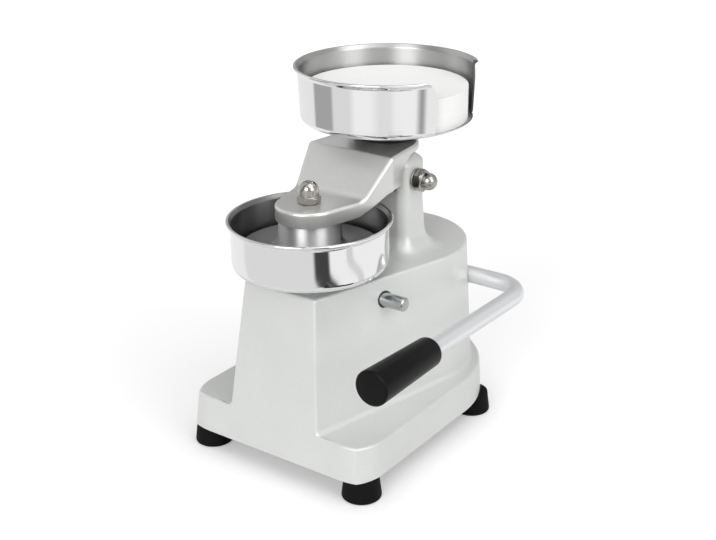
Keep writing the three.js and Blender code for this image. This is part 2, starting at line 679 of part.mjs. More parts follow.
function upperBowl() {
  const wall = bowlProfile(paperBowl, paperFloorZ, paperBowl.bottomRadius, paperBowl.topRadius, 0);
  const shell = solid(turned(wall, fine));
  const middle = (paperGap.fromAngle + paperGap.toAngle) / 2;
  const half = paperBowl.topRadius * sine((paperGap.toAngle - paperGap.fromAngle) / 2);
  const sill = paperFloorZ + paperGap.sill;
  const corner = paperGap.corner;
  const rimZ = paperFloorZ + paperBowl.height;
  const above = rimZ + overrun;
  const window_ = slab([
    [-half, sill], [half, sill], ...arc(half + corner, rimZ - corner, corner, 180, 90, 6),
    [half + corner, above], [-half - corner, above],
    ...arc(-half - corner, rimZ - corner, corner, 90, 0, 6),
  ], 0, paperBowl.rimRadius + overrun);
  const upright = new THREE.Matrix4().makeBasis(
    new THREE.Vector3(-sine(middle), cosine(middle), 0), new THREE.Vector3(0, 0, 1),
    new THREE.Vector3(cosine(middle), sine(middle), 0));
  return geometryOf(cut(shell, solid(window_.applyMatrix4(upright))));
}

function spacerForm() {
  const bottom = platformTop + seatGap;
  const top = paperFloorZ - seatGap;
  const hole = bowlStud.radius + seatGap;
  return turned([
    [hole, bottom], [spacer.radius, bottom], [spacer.radius, top - spacer.flangeThick],
    [spacer.flange, top - spacer.flangeThick], [spacer.flange, top], [hole, top], [hole, bottom],
  ], 48);
}

function paperStack() {
  const bottom = paperFloorZ + paperBowl.sheet + seatGap;
  return rodZ(paper.radius, bottom, bottom + paper.height, 0, 0, fine);
}

// Round lever bar: straight through the stand, bent forwards, then straight to the grip
function leverBar() {
  const bend = lever.bend;
  const forward = new THREE.Vector3(0, -cosine(lever.tiltAngle), sine(lever.tiltAngle));
  const across = new THREE.Vector3(1, 0, 0);
  const up = across.clone().cross(forward);
  const stop = new THREE.Vector3(lever.x - bend, leverY, leverZ);
  const centre = stop.clone().addScaledVector(forward, bend);
  const stations = [{ at: new THREE.Vector3(lever.leftEnd, leverY, leverZ), out: forward }];
  for (let i = 0; i <= 9; i += 1) {
    const angle = 90 * i / 9;
    const out = forward.clone().multiplyScalar(-cosine(angle)).addScaledVector(across, sine(angle));
    stations.push({ at: centre.clone().addScaledVector(out, bend), out: out.negate() });
  }
  const end = centre.clone().addScaledVector(across, bend);
  const run = (lever.reach + grip.socket - bend) / cosine(lever.tiltAngle);
  stations.push({ at: end.addScaledVector(forward, run), out: across.clone().negate() });
  return skin(stations.map(({ at, out }) => Array.from({ length: 20 }, (_, j) => {
    const angle = 360 * j / 20;
    return at.clone().addScaledVector(out, lever.radius * cosine(angle))
      .addScaledVector(up, lever.radius * sine(angle));
  })));
}

// Moulded grip, axis along Z from its rear end, with a blind hole for the bar
function gripForm() {
  const length = grip.length / cosine(lever.tiltAngle);
  const hole = lever.radius + seatGap;
  const depth = grip.socket / cosine(lever.tiltAngle) + seatGap;
  return turned([
    [hole, 0], ...arc(grip.rearRadius - grip.rearEdge, grip.rearEdge, grip.rearEdge, -90, 0, 4),
    ...arc(grip.frontRadius - grip.frontEdge, length - grip.frontEdge, grip.frontEdge, 0, 90, 3),
    [0, length], [0, depth], [hole, depth], [hole, 0],
  ], 32);
}

// Flat strap with a round eye at each end, between two planes across X
function strapForm(from, to, fromRadius, toRadius, x0, x1) {
  const angle = THREE.MathUtils.radToDeg(Math.atan2(to[1] - from[1], to[0] - from[0]));
  const reach = Math.hypot(to[1] - from[1], to[0] - from[0]);
  const lean = THREE.MathUtils.radToDeg(Math.acos((fromRadius - toRadius) / reach));
  const points = [
    ...arc(...to, toRadius, angle - lean, angle + lean, 10),
    ...arc(...from, fromRadius, angle + lean, angle + 360 - lean, 14),
  ];
  return profile(points, x0, x1);
}

// Crank clamped on the lever bar, with one eye for each link
function crankForm() {
  const far = linkFace + crank.hubLength;
  const plateFar = pushFace - runGap;
  return geometryOf(cut(
    join(
      solid(rodX(crank.hubRadius, linkFace, far, ...leverAxis)),
      solid(strapForm(leverAxis, crankPin, crank.hubRadius - seatGap, crank.eye, linkFace, plateFar)),
      solid(strapForm(leverAxis, pushPin, crank.hubRadius - seatGap, crank.eye, linkFace, plateFar)),
    ),
    solid(rodX(lever.radius + seatGap, -overrun, far + overrun, ...leverAxis, 24)),
    solid(rodX(pinRadius + seatGap, -overrun, far + overrun, ...crankPin, coarse)),
    solid(rodX(pinRadius + seatGap, -overrun, far + overrun, ...pushPin, coarse)),
  ));
}

// Slightly bowed link that lifts the press arm, with a loose eye at the arm's lug
function pressLink() {
  const bow = linkBowShares.map(([y, z]) =>
    new THREE.Vector2(mix(crankPin[0], lugPin[0], y), mix(crankPin[1], lugPin[1], z)));
  const line = new THREE.CubicBezierCurve(
    new THREE.Vector2(...crankPin), bow[0], bow[1], new THREE.Vector2(...lugPin));
  const steps = 10;
  const left = [];
  const right = [];
  for (let i = 0; i <= steps; i += 1) {
    const at = line.getPoint(i / steps);
    const along = line.getTangent(i / steps);
    left.push([at.x - along.y * strap.slimHalf, at.y + along.x * strap.slimHalf]);
    right.unshift([at.x + along.y * strap.slimHalf, at.y - along.x * strap.slimHalf]);
  }
  const half = strap.thick / 2;
  return geometryOf(cut(
    join(
      solid(profile([...left, ...right].reverse(), -half, half)),
      solid(rodX(strap.halfWidth, -half, half, ...crankPin, 24)),
      solid(rodX(strap.halfWidth, -half, half, ...lugPin, 24)),
    ),
    solid(rodX(pinRadius + looseGap, -overrun, overrun, ...lugPin, coarse)),
    solid(rodX(pinRadius + seatGap, -overrun, overrun, ...crankPin, coarse)),
  ));
}

// Straight link from the crank to the rocker, with a loose eye at the rocker
function pushLink() {
  const far = pushFace + strap.thick;
  const looseEye = strap.halfWidth + looseGap;
  return geometryOf(cut(
    solid(strapForm(pushPin, rockerPin, strap.halfWidth, looseEye, pushFace, far)),
    solid(rodX(pinRadius + looseGap, pushFace - overrun, far + overrun, ...rockerPin, coarse)),
    solid(rodX(pinRadius + seatGap, pushFace - overrun, far + overrun, ...pushPin, coarse)),
  ));
}

// Bell crank under the lower bowl: one arm forwards to the sleeve, one down to the push link
function rockerForm() {
  const far = rockerFace + rocker.thick;
  const liftEye = sleeve.radius - runGap;
  const end = rocker.hubHalf + overrun;
  return geometryOf(cut(
    join(
      solid(rodX(rocker.hubRadius, -rocker.hubHalf, rocker.hubHalf, ...rockerAxis)),
      solid(strapForm(rockerAxis, liftPin, rocker.hubRadius - seatGap, liftEye, rockerFace, far)),
      solid(strapForm(rockerAxis, rockerPin, rocker.hubRadius - seatGap, strap.halfWidth, rockerFace, far)),
    ),
    solid(rodX(rocker.shaftRadius + seatGap, -end, end, ...rockerAxis)),
    solid(rodX(pinRadius + seatGap, rockerFace - overrun, far + overrun, ...liftPin, coarse)),
    solid(rodX(pinRadius + seatGap, rockerFace - overrun, far + overrun, ...rockerPin, coarse)),
  ));
}

// Pivot shaft of the rocker, axis along Z from its left end, chamfered where it shows
function rockerShaft() {
  const length = rocker.shaftRight - rocker.shaftLeft;
  return turned([
    [0, 0], [rocker.shaftRadius, 0], [rocker.shaftRadius, length - rocker.chamfer],
    [rocker.shaftRadius - rocker.chamfer, length], [0, length],
  ], medium);
}

// Scene graph
function finish(color, roughness, metalness) {
  return new THREE.MeshStandardMaterial({ color, roughness, metalness, flatShading: true });
}

const looks = {
  casting: () => finish('#d3d6d2', 0.5, 0.45),
  armCasting: () => finish('#c9cac7', 0.48, 0.5),
  bowl: () => finish('#d9dadb', 0.12, 1),
  turned: () => finish('#b9bbbd', 0.25, 1),
  fastener: () => finish('#b5b3ae', 0.22, 1),
  zinc: () => finish('#c3c8c9', 0.3, 1),
  bar: () => finish('#cfd1d6', 0.28, 0.9),
  rubber: () => finish('#161616', 0.7, 0),
  grip: () => finish('#1b1b1c', 0.45, 0),
  steel: () => finish('#8e9194', 0.45, 0.9),
  bronze: () => finish('#a9824c', 0.4, 0.9),
  paper: () => finish('#f1f1ee', 0.85, 0),
};

const press = new THREE.Group();
const toX = new THREE.Euler(0, Math.PI / 2, 0); // turns an axis along Z to lie along X
const toLeft = new THREE.Euler(0, -Math.PI / 2, 0);

function place(parent, name, geometry, look, position = [0, 0, 0], rotation = new THREE.Euler()) {
  const mesh = new THREE.Mesh(closed(geometry), looks[look]());
  mesh.name = name;
  mesh.position.set(...position);
  mesh.rotation.copy(rotation);
  parent.add(mesh);
}

function addStand() {
  place(press, 'body_casting', geometryOf(bodyCasting()), 'casting');
  footPlaces().forEach(([side, x, y]) => {
    place(press, `foot_${side}`, rubberFoot(), 'rubber', [x, y, 0]);
    place(press, `foot_screw_${side}`, footScrewForm(), 'fastener', [x, y, 0]);
  });
  place(press, 'lower_bowl', lowerBowl(), 'bowl', [0, bowlY, 0]);
  bowlScrewPlaces().forEach(([x, y], i) => {
    place(press, `lower_bowl_screw_${i + 1}`, bowlScrewForm(), 'fastener', [x, y, 0]);
  });
  place(press, 'ejector_bush', ejectorBush(), 'bronze', [0, bowlY, 0]);
  const bushLength = leverBush.outer - leverBush.inner;
  const bushForm = () => ring(lever.radius + seatGap, leverBush.radius, bushLength);
  place(press, 'lever_bush_right', bushForm(), 'bronze', [leverBush.inner, ...leverAxis], toX);
  place(press, 'lever_bush_left', bushForm(), 'bronze', [-leverBush.inner, ...leverAxis], toLeft);
  place(press, 'rocker_shaft', rockerShaft(), 'zinc', [rocker.shaftLeft, ...rockerAxis], toX);
  const clipForm = () => ring(rocker.shaftRadius + seatGap, clip.radius, clip.thick);
  const clipX = rocker.hubHalf + runGap;
  place(press, 'rocker_clip_right', clipForm(), 'steel', [clipX, ...rockerAxis], toX);
  place(press, 'rocker_clip_left', clipForm(), 'steel', [-clipX, ...rockerAxis], toLeft);
}

function addHinge() {
  const face = column.halfX + seatGap;
  const nutFace = face + washer.thick + seatGap;
  const half = nutFace + nut.holeDepth;
  place(press, 'hinge_bar', rodZ(hinge.radius, -half, half, 0, 0, 20), 'fastener', [0, ...hingeAxis], toX);
  [['right', 1, toX], ['left', -1, toLeft]].forEach(([side, sign, turn]) => {
    const disc = ring(hinge.radius + seatGap, washer.radius, washer.thick, 28);
    place(press, `hinge_washer_${side}`, disc, 'fastener', [sign * face, ...hingeAxis], turn);
    const cap = acornNut(hinge.radius + seatGap);
    place(press, `hinge_nut_${side}`, cap, 'fastener', [sign * nutFace, ...hingeAxis], turn);
  });
}

function addArm() {
  place(press, 'press_arm', pressArm(), 'armCasting');
  place(press, 'press_plate', pressPlate(), 'turned', [0, bowlY, 0]);
  place(press, 'plate_stud', studForm(), 'fastener', [0, bowlY, 0]);
  place(press, 'plate_nut', acornNut(stud.radius + seatGap), 'fastener', [0, bowlY, bossTop + seatGap]);
  place(press, 'paper_bowl', upperBowl(), 'bowl', [0, paperBowlY, 0]);
  place(press, 'paper_bowl_spacer', spacerForm(), 'turned', [0, paperBowlY, 0]);
  const studTop = paperFloorZ - seatGap;
  const holder = rodZ(bowlStud.radius, platformTop - bowlStud.depth, studTop, 0, 0, coarse);
  place(press, 'paper_bowl_stud', holder, 'fastener', [0, paperBowlY, 0]);
  place(press, 'paper_stack', paperStack(), 'paper', [0, paperBowlY, 0]);
  const half = lug.gap + lug.thick;
  place(press, 'lug_pin', rodZ(pinRadius, -half, half, 0, 0, coarse), 'steel', [0, ...lugPin], toX);
}

function addEjector() {
  place(press, 'ejector_disc', ejectorDisc(), 'bowl', [0, bowlY, 0]);
  place(press, 'ejector_rod', ejectorRod(), 'steel', [0, bowlY, 0]);
}

function addLever() {
  place(press, 'lever_bar', leverBar(), 'bar');
  const tilt = new THREE.Euler(THREE.MathUtils.degToRad(90 - lever.tiltAngle), 0, 0);
  const rise = (lever.reach - lever.bend) * sine(lever.tiltAngle) / cosine(lever.tiltAngle);
  const bendRise = lever.bend * sine(lever.tiltAngle);
  place(press, 'lever_grip', gripForm(), 'grip', [lever.x, gripRearY, leverZ + bendRise + rise], tilt);
  place(press, 'lever_crank', crankForm(), 'steel');
  const near = -strap.thick / 2;
  const far = pushFace - runGap;
  place(press, 'crank_press_pin', rodX(pinRadius, near, far, ...crankPin, coarse), 'steel');
  const out = pushFace + strap.thick;
  place(press, 'crank_push_pin', rodX(pinRadius, linkFace, out, ...pushPin, coarse), 'steel');
}

function addLinkage() {
  place(press, 'press_link', pressLink(), 'steel');
  place(press, 'push_link', pushLink(), 'steel');
  place(press, 'rocker', rockerForm(), 'steel');
  const far = rockerFace + rocker.thick;
  place(press, 'lift_pin', rodX(pinRadius, -sleeve.halfLength, far, ...liftPin, coarse), 'steel');
  const tube = ring(pinRadius + seatGap, sleeve.radius, 2 * sleeve.halfLength, 24);
  place(press, 'lift_sleeve', tube, 'steel', [-sleeve.halfLength, ...liftPin], toX);
  const out = pushFace + strap.thick;
  place(press, 'rocker_push_pin', rodX(pinRadius, rockerFace, out, ...rockerPin, coarse), 'steel');
}

addStand();
addHinge();
addArm();
addEjector();
addLever();
addLinkage();

// Origin at the middle of the whole object's base
press.updateMatrixWorld(true);
const extent = new THREE.Box3().setFromObject(press, true);
press.position.set(-(extent.min.x + extent.max.x) / 2, -(extent.min.y + extent.max.y) / 2, -extent.min.z);

export default press;
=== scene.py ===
import json

import bmesh
import bpy
import numpy as np
from mathutils import Matrix, Vector


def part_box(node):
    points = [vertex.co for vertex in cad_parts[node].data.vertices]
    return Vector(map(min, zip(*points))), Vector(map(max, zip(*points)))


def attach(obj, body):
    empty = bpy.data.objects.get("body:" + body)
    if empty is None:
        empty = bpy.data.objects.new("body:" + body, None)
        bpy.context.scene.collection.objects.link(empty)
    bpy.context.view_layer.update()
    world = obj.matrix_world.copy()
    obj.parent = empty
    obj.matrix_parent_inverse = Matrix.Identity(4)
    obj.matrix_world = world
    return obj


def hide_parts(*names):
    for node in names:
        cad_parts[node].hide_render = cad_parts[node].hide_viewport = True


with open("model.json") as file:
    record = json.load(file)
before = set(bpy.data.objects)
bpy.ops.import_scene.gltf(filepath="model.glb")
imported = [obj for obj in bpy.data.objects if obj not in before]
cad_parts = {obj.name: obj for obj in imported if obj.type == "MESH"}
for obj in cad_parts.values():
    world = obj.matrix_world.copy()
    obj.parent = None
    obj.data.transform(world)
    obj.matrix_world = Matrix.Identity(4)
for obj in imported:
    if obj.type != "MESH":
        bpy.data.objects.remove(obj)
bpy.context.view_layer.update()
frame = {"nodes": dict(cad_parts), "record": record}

scene = bpy.context.scene
scene.view_settings.view_transform = "Standard"

# Places that several pieces share, the same as in the frame
hinge, leverAxis, rockerAxis = (31.5, 238.5), (88, 132.5), (-43, 152)  # y and z
bowlY, bowlFloor, bossTop = -70.9, 180.6, 237.8
paperY, paperFloor, platformTop = 46.1, 285.4, 269.8
footHeight, skirtTop, deckZ = 20.5, 53, 171.5
standLow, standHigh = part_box("body_casting")
bowlLow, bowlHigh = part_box("lower_bowl")
middle = ((standLow.x + standHigh.x) / 2, (bowlLow.y + bowlHigh.y) / 2 - bowlY / 1000, 0)
toFrame = Matrix.Translation(middle) @ Matrix.Scale(0.001, 4)
print("frame loaded, middle of the stand at", [round(v, 5) for v in middle])


def addObject(name, data):
    thing = bpy.data.objects.new(name, data)
    scene.collection.objects.link(thing)
    return thing


# Points and outlines
def fullTurn(count):
    return np.linspace(0, 2 * np.pi, count, endpoint=False)


def quarterTurn(count):
    return np.linspace(0, np.pi / 2, count)


def arcPoints(x, y, radius, start, end, count, last=False):
    angle = np.linspace(start, end, count, endpoint=last)
    return np.column_stack([x + radius * np.cos(angle), y + radius * np.sin(angle)])


def circle(x, y, radius, count):
    return arcPoints(x, y, radius, 0, 2 * np.pi, count)


def stretch(start, end, count):
    return start + (np.asarray(end) - start) * np.linspace(0, 1, count, endpoint=False)[:, None]


def roundPath(corners, steps=6):
    # path through corners (u, v, radius): a corner with a radius becomes an arc tangent to its sides
    place = np.array([corner[:2] for corner in corners], float)
    path = [place[:1]]
    for i in range(1, len(corners) - 1):
        radius = corners[i][2] if len(corners[i]) > 2 else 0
        back, ahead = place[i - 1] - place[i], place[i + 1] - place[i]
        back, ahead = back / np.linalg.norm(back), ahead / np.linalg.norm(ahead)
        if not radius:
            path.append(place[i:i + 1])
            continue
        half = np.arccos(np.clip(back @ ahead, -1, 1)) / 2
        centre = place[i] + (back + ahead) / np.linalg.norm(back + ahead) * radius / np.sin(half)
        first = place[i] + back * radius / np.tan(half) - centre
        last = place[i] + ahead * radius / np.tan(half) - centre
        sweep = np.pi - 2 * half
        share = np.linspace(0, 1, steps + 1)[:, None]
        arc = np.sin((1 - share) * sweep) * first + np.sin(share * sweep) * last
        path.append(centre + arc / np.sin(sweep))
    path.append(place[-1:])
    return np.concatenate(path)


def atHeight(outline, z):
    return np.column_stack([outline, np.full(len(outline), z)])


def atX(outline, x):
    return np.column_stack([np.full(len(outline), x), outline])


# Meshes
def ringSurface(rings, caps=True):
    # rings (count, around, 3): quads join each ring to the next, flat faces close both ends
    count, around = rings.shape[:2]
    row = np.arange(count - 1)[:, None] * around
    this = np.arange(around)[None, :]
    following = (this + 1) % around
    quads = np.stack([row + this, row + following, row + around + following, row + around + this], -1)
    faces = quads.reshape(-1, 4).tolist()
    if caps:
        faces += [list(range(around)), list(range((count - 1) * around, count * around))]
    mesh = bpy.data.meshes.new("shape")
    mesh.from_pydata(rings.reshape(-1, 3).tolist(), [], faces)
    return seal(mesh)


def seal(mesh):
    # closes seams and poles by merging doubled points, then turns all faces outwards
    work = bmesh.new()
    work.from_mesh(mesh)
    bmesh.ops.remove_doubles(work, verts=work.verts, dist=1e-4)
    bmesh.ops.recalc_face_normals(work, faces=work.faces)
    work.to_mesh(mesh)
    work.free()
    return mesh


def revolve(profile, sides, x=0, y=0):
    # profile (radius, z) turned about Z: x = radius cos(angle), y = radius sin(angle)
    angle = fullTurn(sides)
    radius, z = profile[:, :1], profile[:, 1:]
    rings = np.stack([x + radius * np.cos(angle), y + radius * np.sin(angle), z + 0 * angle], -1)
    return ringSurface(rings, caps=False)


def sweepX(outline, *stations):
    # outline (y, z) carried along X through the stations
    return ringSurface(np.stack([atX(outline, x) for x in stations]))


def rod(axis, radius, start, end, first, second, sides=64):
    # plain round tool along X or Z, at (y, z) or (x, y)
    lay = {"X": atX, "Z": atHeight}[axis]
    outline = circle(first, second, radius, sides)
    return ringSurface(np.stack([lay(outline, place) for place in (start, end)]))


def bothEnds(half, rounding, count):
    # stations along X and how much an outline shrinks there, in a quarter circle at both ends
    turn = quarterTurn(count)
    out = half - rounding + rounding * np.sin(turn)
    less = rounding * (1 - np.cos(turn))
    return zip([*-out[::-1], *out], [*less[::-1], *less])


def box(x, y, z):
    return sweepX(np.array([(y[0], z[0]), (y[1], z[0]), (y[1], z[1]), (y[0], z[1])], float), *x)


def strap(pivot, pin, rootRadius, eyeRadius, start, end):
    # outline of two circles and the lines tangent to both, given a width along X
    run = np.subtract(pin, pivot)
    along = np.arctan2(run[1], run[0])
    lean = np.arccos((rootRadius - eyeRadius) / np.hypot(*run))
    eye = arcPoints(*pin, eyeRadius, along - lean, along + lean, 20, last=True)
    root = arcPoints(*pivot, rootRadius, along + lean, along + 2 * np.pi - lean, 32, last=True)
    return sweepX(np.concatenate([eye, root]), start, end)


def combine(mesh, operation, tools):
    # closed body with the tools joined to it or cut from it, one after the other
    things = [addObject("work", data) for data in (mesh, *tools)]
    for tool in things[1:]:
        modifier = things[0].modifiers.new("combine", "BOOLEAN")
        modifier.operation, modifier.solver, modifier.object = operation, "MANIFOLD", tool
    bpy.context.view_layer.update()
    result = bpy.data.meshes.new_from_object(things[0].evaluated_get(bpy.context.evaluated_depsgraph_get()))
    for thing in things:
        bpy.data.objects.remove(thing)
    return result


def cut(mesh, *tools):
    return combine(mesh, "DIFFERENCE", tools)


def join(mesh, *tools):
    return combine(mesh, "UNION", tools)


def addPiece(name, mesh, body, node, slot, materials=None, smooth=35, place=toFrame):
    # piece at the origin with its place in its mesh, smooth up to an angle and sharp past it, in
    # the material of its slot unless others are given
    mesh.transform(place)
    mesh.name = name
    mesh.shade_smooth()
    mesh.set_sharp_from_angle(angle=np.radians(smooth))
    piece = addObject(name, mesh)
    mesh.materials.clear()
    for material in materials or [slotMaterials[slot]]:
        mesh.materials.append(material)
    paint(piece, np.zeros(len(mesh.polygons)))
    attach(piece, body)
    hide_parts(node)
    return piece


def paint(piece, index):
    piece.data.polygons.foreach_set("material_index", index.astype(np.int32))


def weighNormals(piece):
    # large flat faces keep their own direction beside small rounded ones
    piece.modifiers.new("flat faces", "WEIGHTED_NORMAL").keep_sharp = True


def readFaces(piece, axisY):
    # normals and centres of all faces, the centres in millimetres from an upright axis
    normal, place = np.zeros((2, len(piece.data.polygons) * 3))
    piece.data.polygons.foreach_get("normal", normal)
    piece.data.polygons.foreach_get("center", place)
    return normal.reshape(-1, 3), (place.reshape(-1, 3) - middle) * 1000 - [0, axisY, 0]


# Shader nodes
def hexColour(text):
    # sRGB hex to the linear values that shaders take
    channel = np.array([int(text[i:i + 2], 16) for i in (1, 3, 5)]) / 255
    linear = np.where(channel <= 0.04045, channel / 12.92, ((channel + 0.055) / 1.055) ** 2.4)
    return (*linear.tolist(), 1)


def setInputs(tree, node, inputs):
    # an input is a value or a pair of node and output
    for name, value in inputs.items():
        if isinstance(value, tuple) and isinstance(value[0], bpy.types.Node):
            tree.links.new(value[0].outputs[value[1]], node.inputs[name])
        else:
            node.inputs[name].default_value = value
    return node


def addNode(tree, kind, inputs=None, **settings):
    # one node; the helpers after this return a pair of node and output, for use as an input
    node = tree.nodes.new("ShaderNode" + kind)
    for name, value in settings.items():
        setattr(node, name, value)
    return setInputs(tree, node, inputs or {})


def calculate(tree, operation, *inputs):
    node = addNode(tree, "Math", dict(enumerate(inputs)), operation=operation)
    return node, 0


def onVectors(tree, operation, *inputs):
    node = addNode(tree, "VectorMath", dict(enumerate(inputs)), operation=operation)
    return node, "Value" if operation == "LENGTH" else "Vector"


def mapRange(tree, value, start, end, low=0.0, high=1.0, **settings):
    return addNode(tree, "MapRange", {
        "Value": value, "From Min": start, "From Max": end, "To Min": low, "To Max": high}, **settings), 0


def addNoise(tree, place, size, detail, roughness=0.5):
    # cloudy pattern with grains of about the given size in millimetres
    return addNode(tree, "TexNoise", {
        "Vector": place, "Scale": 1000 / size, "Detail": detail, "Roughness": roughness}), "Fac"


def blend(tree, share, first, second):
    return addNode(tree, "Mix", {0: share, 2: first, 3: second}, data_type="FLOAT"), 0


def azimuth(tree, place):
    # the place's three coordinates and its angle about Z
    apart = addNode(tree, "SeparateXYZ", {0: place})
    return apart, calculate(tree, "ARCTAN2", (apart, 1), (apart, 0))


def addTint(tree, shader, pattern, span, colours):
    # base colour that runs from one colour to another over a span of the pattern
    tint = addNode(tree, "ValToRGB", {"Fac": pattern})
    for element, position, colour in zip(tint.color_ramp.elements, span, colours):
        element.position, element.color = position, hexColour(colour)
    setInputs(tree, shader, {"Base Color": (tint, "Color")})


def addRelief(tree, shader, values, heights, gloss=None):
    # fine relief with its depth in millimetres, and a roughness that varies with a pattern
    bump = addNode(tree, "Bump", {
        "Height": heights, "Strength": values["bump"], "Distance": values["depth"] / 1000})
    setInputs(tree, shader, {"Normal": (bump, "Normal")})
    if gloss:
        low, high = values["roughness"] - values["glossRange"], values["roughness"] + values["glossRange"]
        setInputs(tree, shader, {"Roughness": mapRange(tree, gloss, 0.3, 0.7, low, high)})


def startMaterial(name, values):
    # metal unless the values say otherwise; the place is the point's position in the frame
    material = bpy.data.materials.new(name)
    material.use_nodes = True
    material.diffuse_color = hexColour(values["colour"])
    tree = material.node_tree
    shader = setInputs(tree, tree.nodes["Principled BSDF"], {
        "Metallic": values.get("metallic", 1.0), "Roughness": values["roughness"],
        "Base Color": hexColour(values["colour"])})
    return material, tree, shader, (addNode(tree, "TexCoord"), "Object")


# Materials
def castMetal(name, values):
    # Cast aluminium, bead blasted and thinly coated: pale, even silver with a very fine grit that
    # breaks highlights into a soft glow, and a faint cloudiness from the casting skin.
    material, tree, shader, place = startMaterial(name, values)
    grit = addNoise(tree, place, values["grit"], 2.0, 0.6)
    both = blend(tree, values["cloudShare"], grit, addNoise(tree, place, values["cloud"], 3.0))
    addTint(tree, shader, both, (0.3, 0.7), (values["dark"], values["light"]))
    addRelief(tree, shader, values, grit, grit)
    return material


def turnedMetal(name, values, axisY):
    # Metal with the fine rings that spinning, turning or brushing leaves round an upright axis:
    # bright streaks run across the rings. Rings are drawn coarser than real ones, so that they show.
    material, tree, shader, place = startMaterial(name, values)
    centred = onVectors(tree, "SUBTRACT", place, (middle[0], middle[1] + axisY / 1000, 0))
    apart, angle = azimuth(tree, centred)
    flat = addNode(tree, "CombineXYZ", {0: (apart, 0), 1: (apart, 1)})
    slow = calculate(tree, "MULTIPLY", angle, values["ringPull"] / 1000)
    unrolled = addNode(tree, "CombineXYZ", {0: slow, 1: onVectors(tree, "LENGTH", (flat, 0)), 2: (apart, 2)})
    rings = addNoise(tree, (unrolled, 0), values["rings"], 3.0, 0.65)
    addRelief(tree, shader, values, rings, rings)
    along = onVectors(tree, "NORMALIZE", onVectors(tree, "CROSS_PRODUCT", (0, 0, 1), centred))
    setInputs(tree, shader, {
        "Tangent": along, "Anisotropic": values["stretch"], "Anisotropic Rotation": 0.25})
    return material


def plainMetal(name, values):
    # Bar, nut or pin with a soft, slightly uneven gloss from handling and plating
    material, tree, shader, place = startMaterial(name, values)
    wear = addNoise(tree, place, values["wear"], 4.0, 0.6)
    addRelief(tree, shader, values, wear, wear)
    return material


def mouldedBlack(name, values):
    # Black rubber or moulded plastic: dark, with a fine leathery texture from the mould and a
    # reflection weaker than that of bare plastic, because the texture breaks it up
    material, tree, shader, place = startMaterial(name, values)
    setInputs(tree, shader, {"Specular IOR Level": values["sheen"]})
    cells = addNode(tree, "TexVoronoi", {"Vector": place, "Scale": 1000 / values["grain"]})
    dust = addNoise(tree, place, values["dust"], 4.0)
    addTint(tree, shader, dust, (0.35, 0.7), (values["colour"], values["light"]))
    addRelief(tree, shader, values, (cells, "Distance"), dust)
    return material


def waxedPaper(name, values):
    # Stack of thin waxed paper discs: near white with a faint fibre, and the lines of single
    # sheets up its side, drawn coarser than real sheets so that they show
    material, tree, shader, place = startMaterial(name, values)
    apart = addNode(tree, "SeparateXYZ", {0: place})
    level = addNode(tree, "CombineXYZ", {2: (apart, 2)})
    sheets = addNoise(tree, (level, 0), values["sheets"], 2.0)
    both = blend(tree, values["fibreShare"], sheets, addNoise(tree, place, values["fibre"], 4.0, 0.6))
    addTint(tree, shader, both, (0.3, 0.65), (values["dark"], values["colour"]))
    addRelief(tree, shader, values, both)
    return material


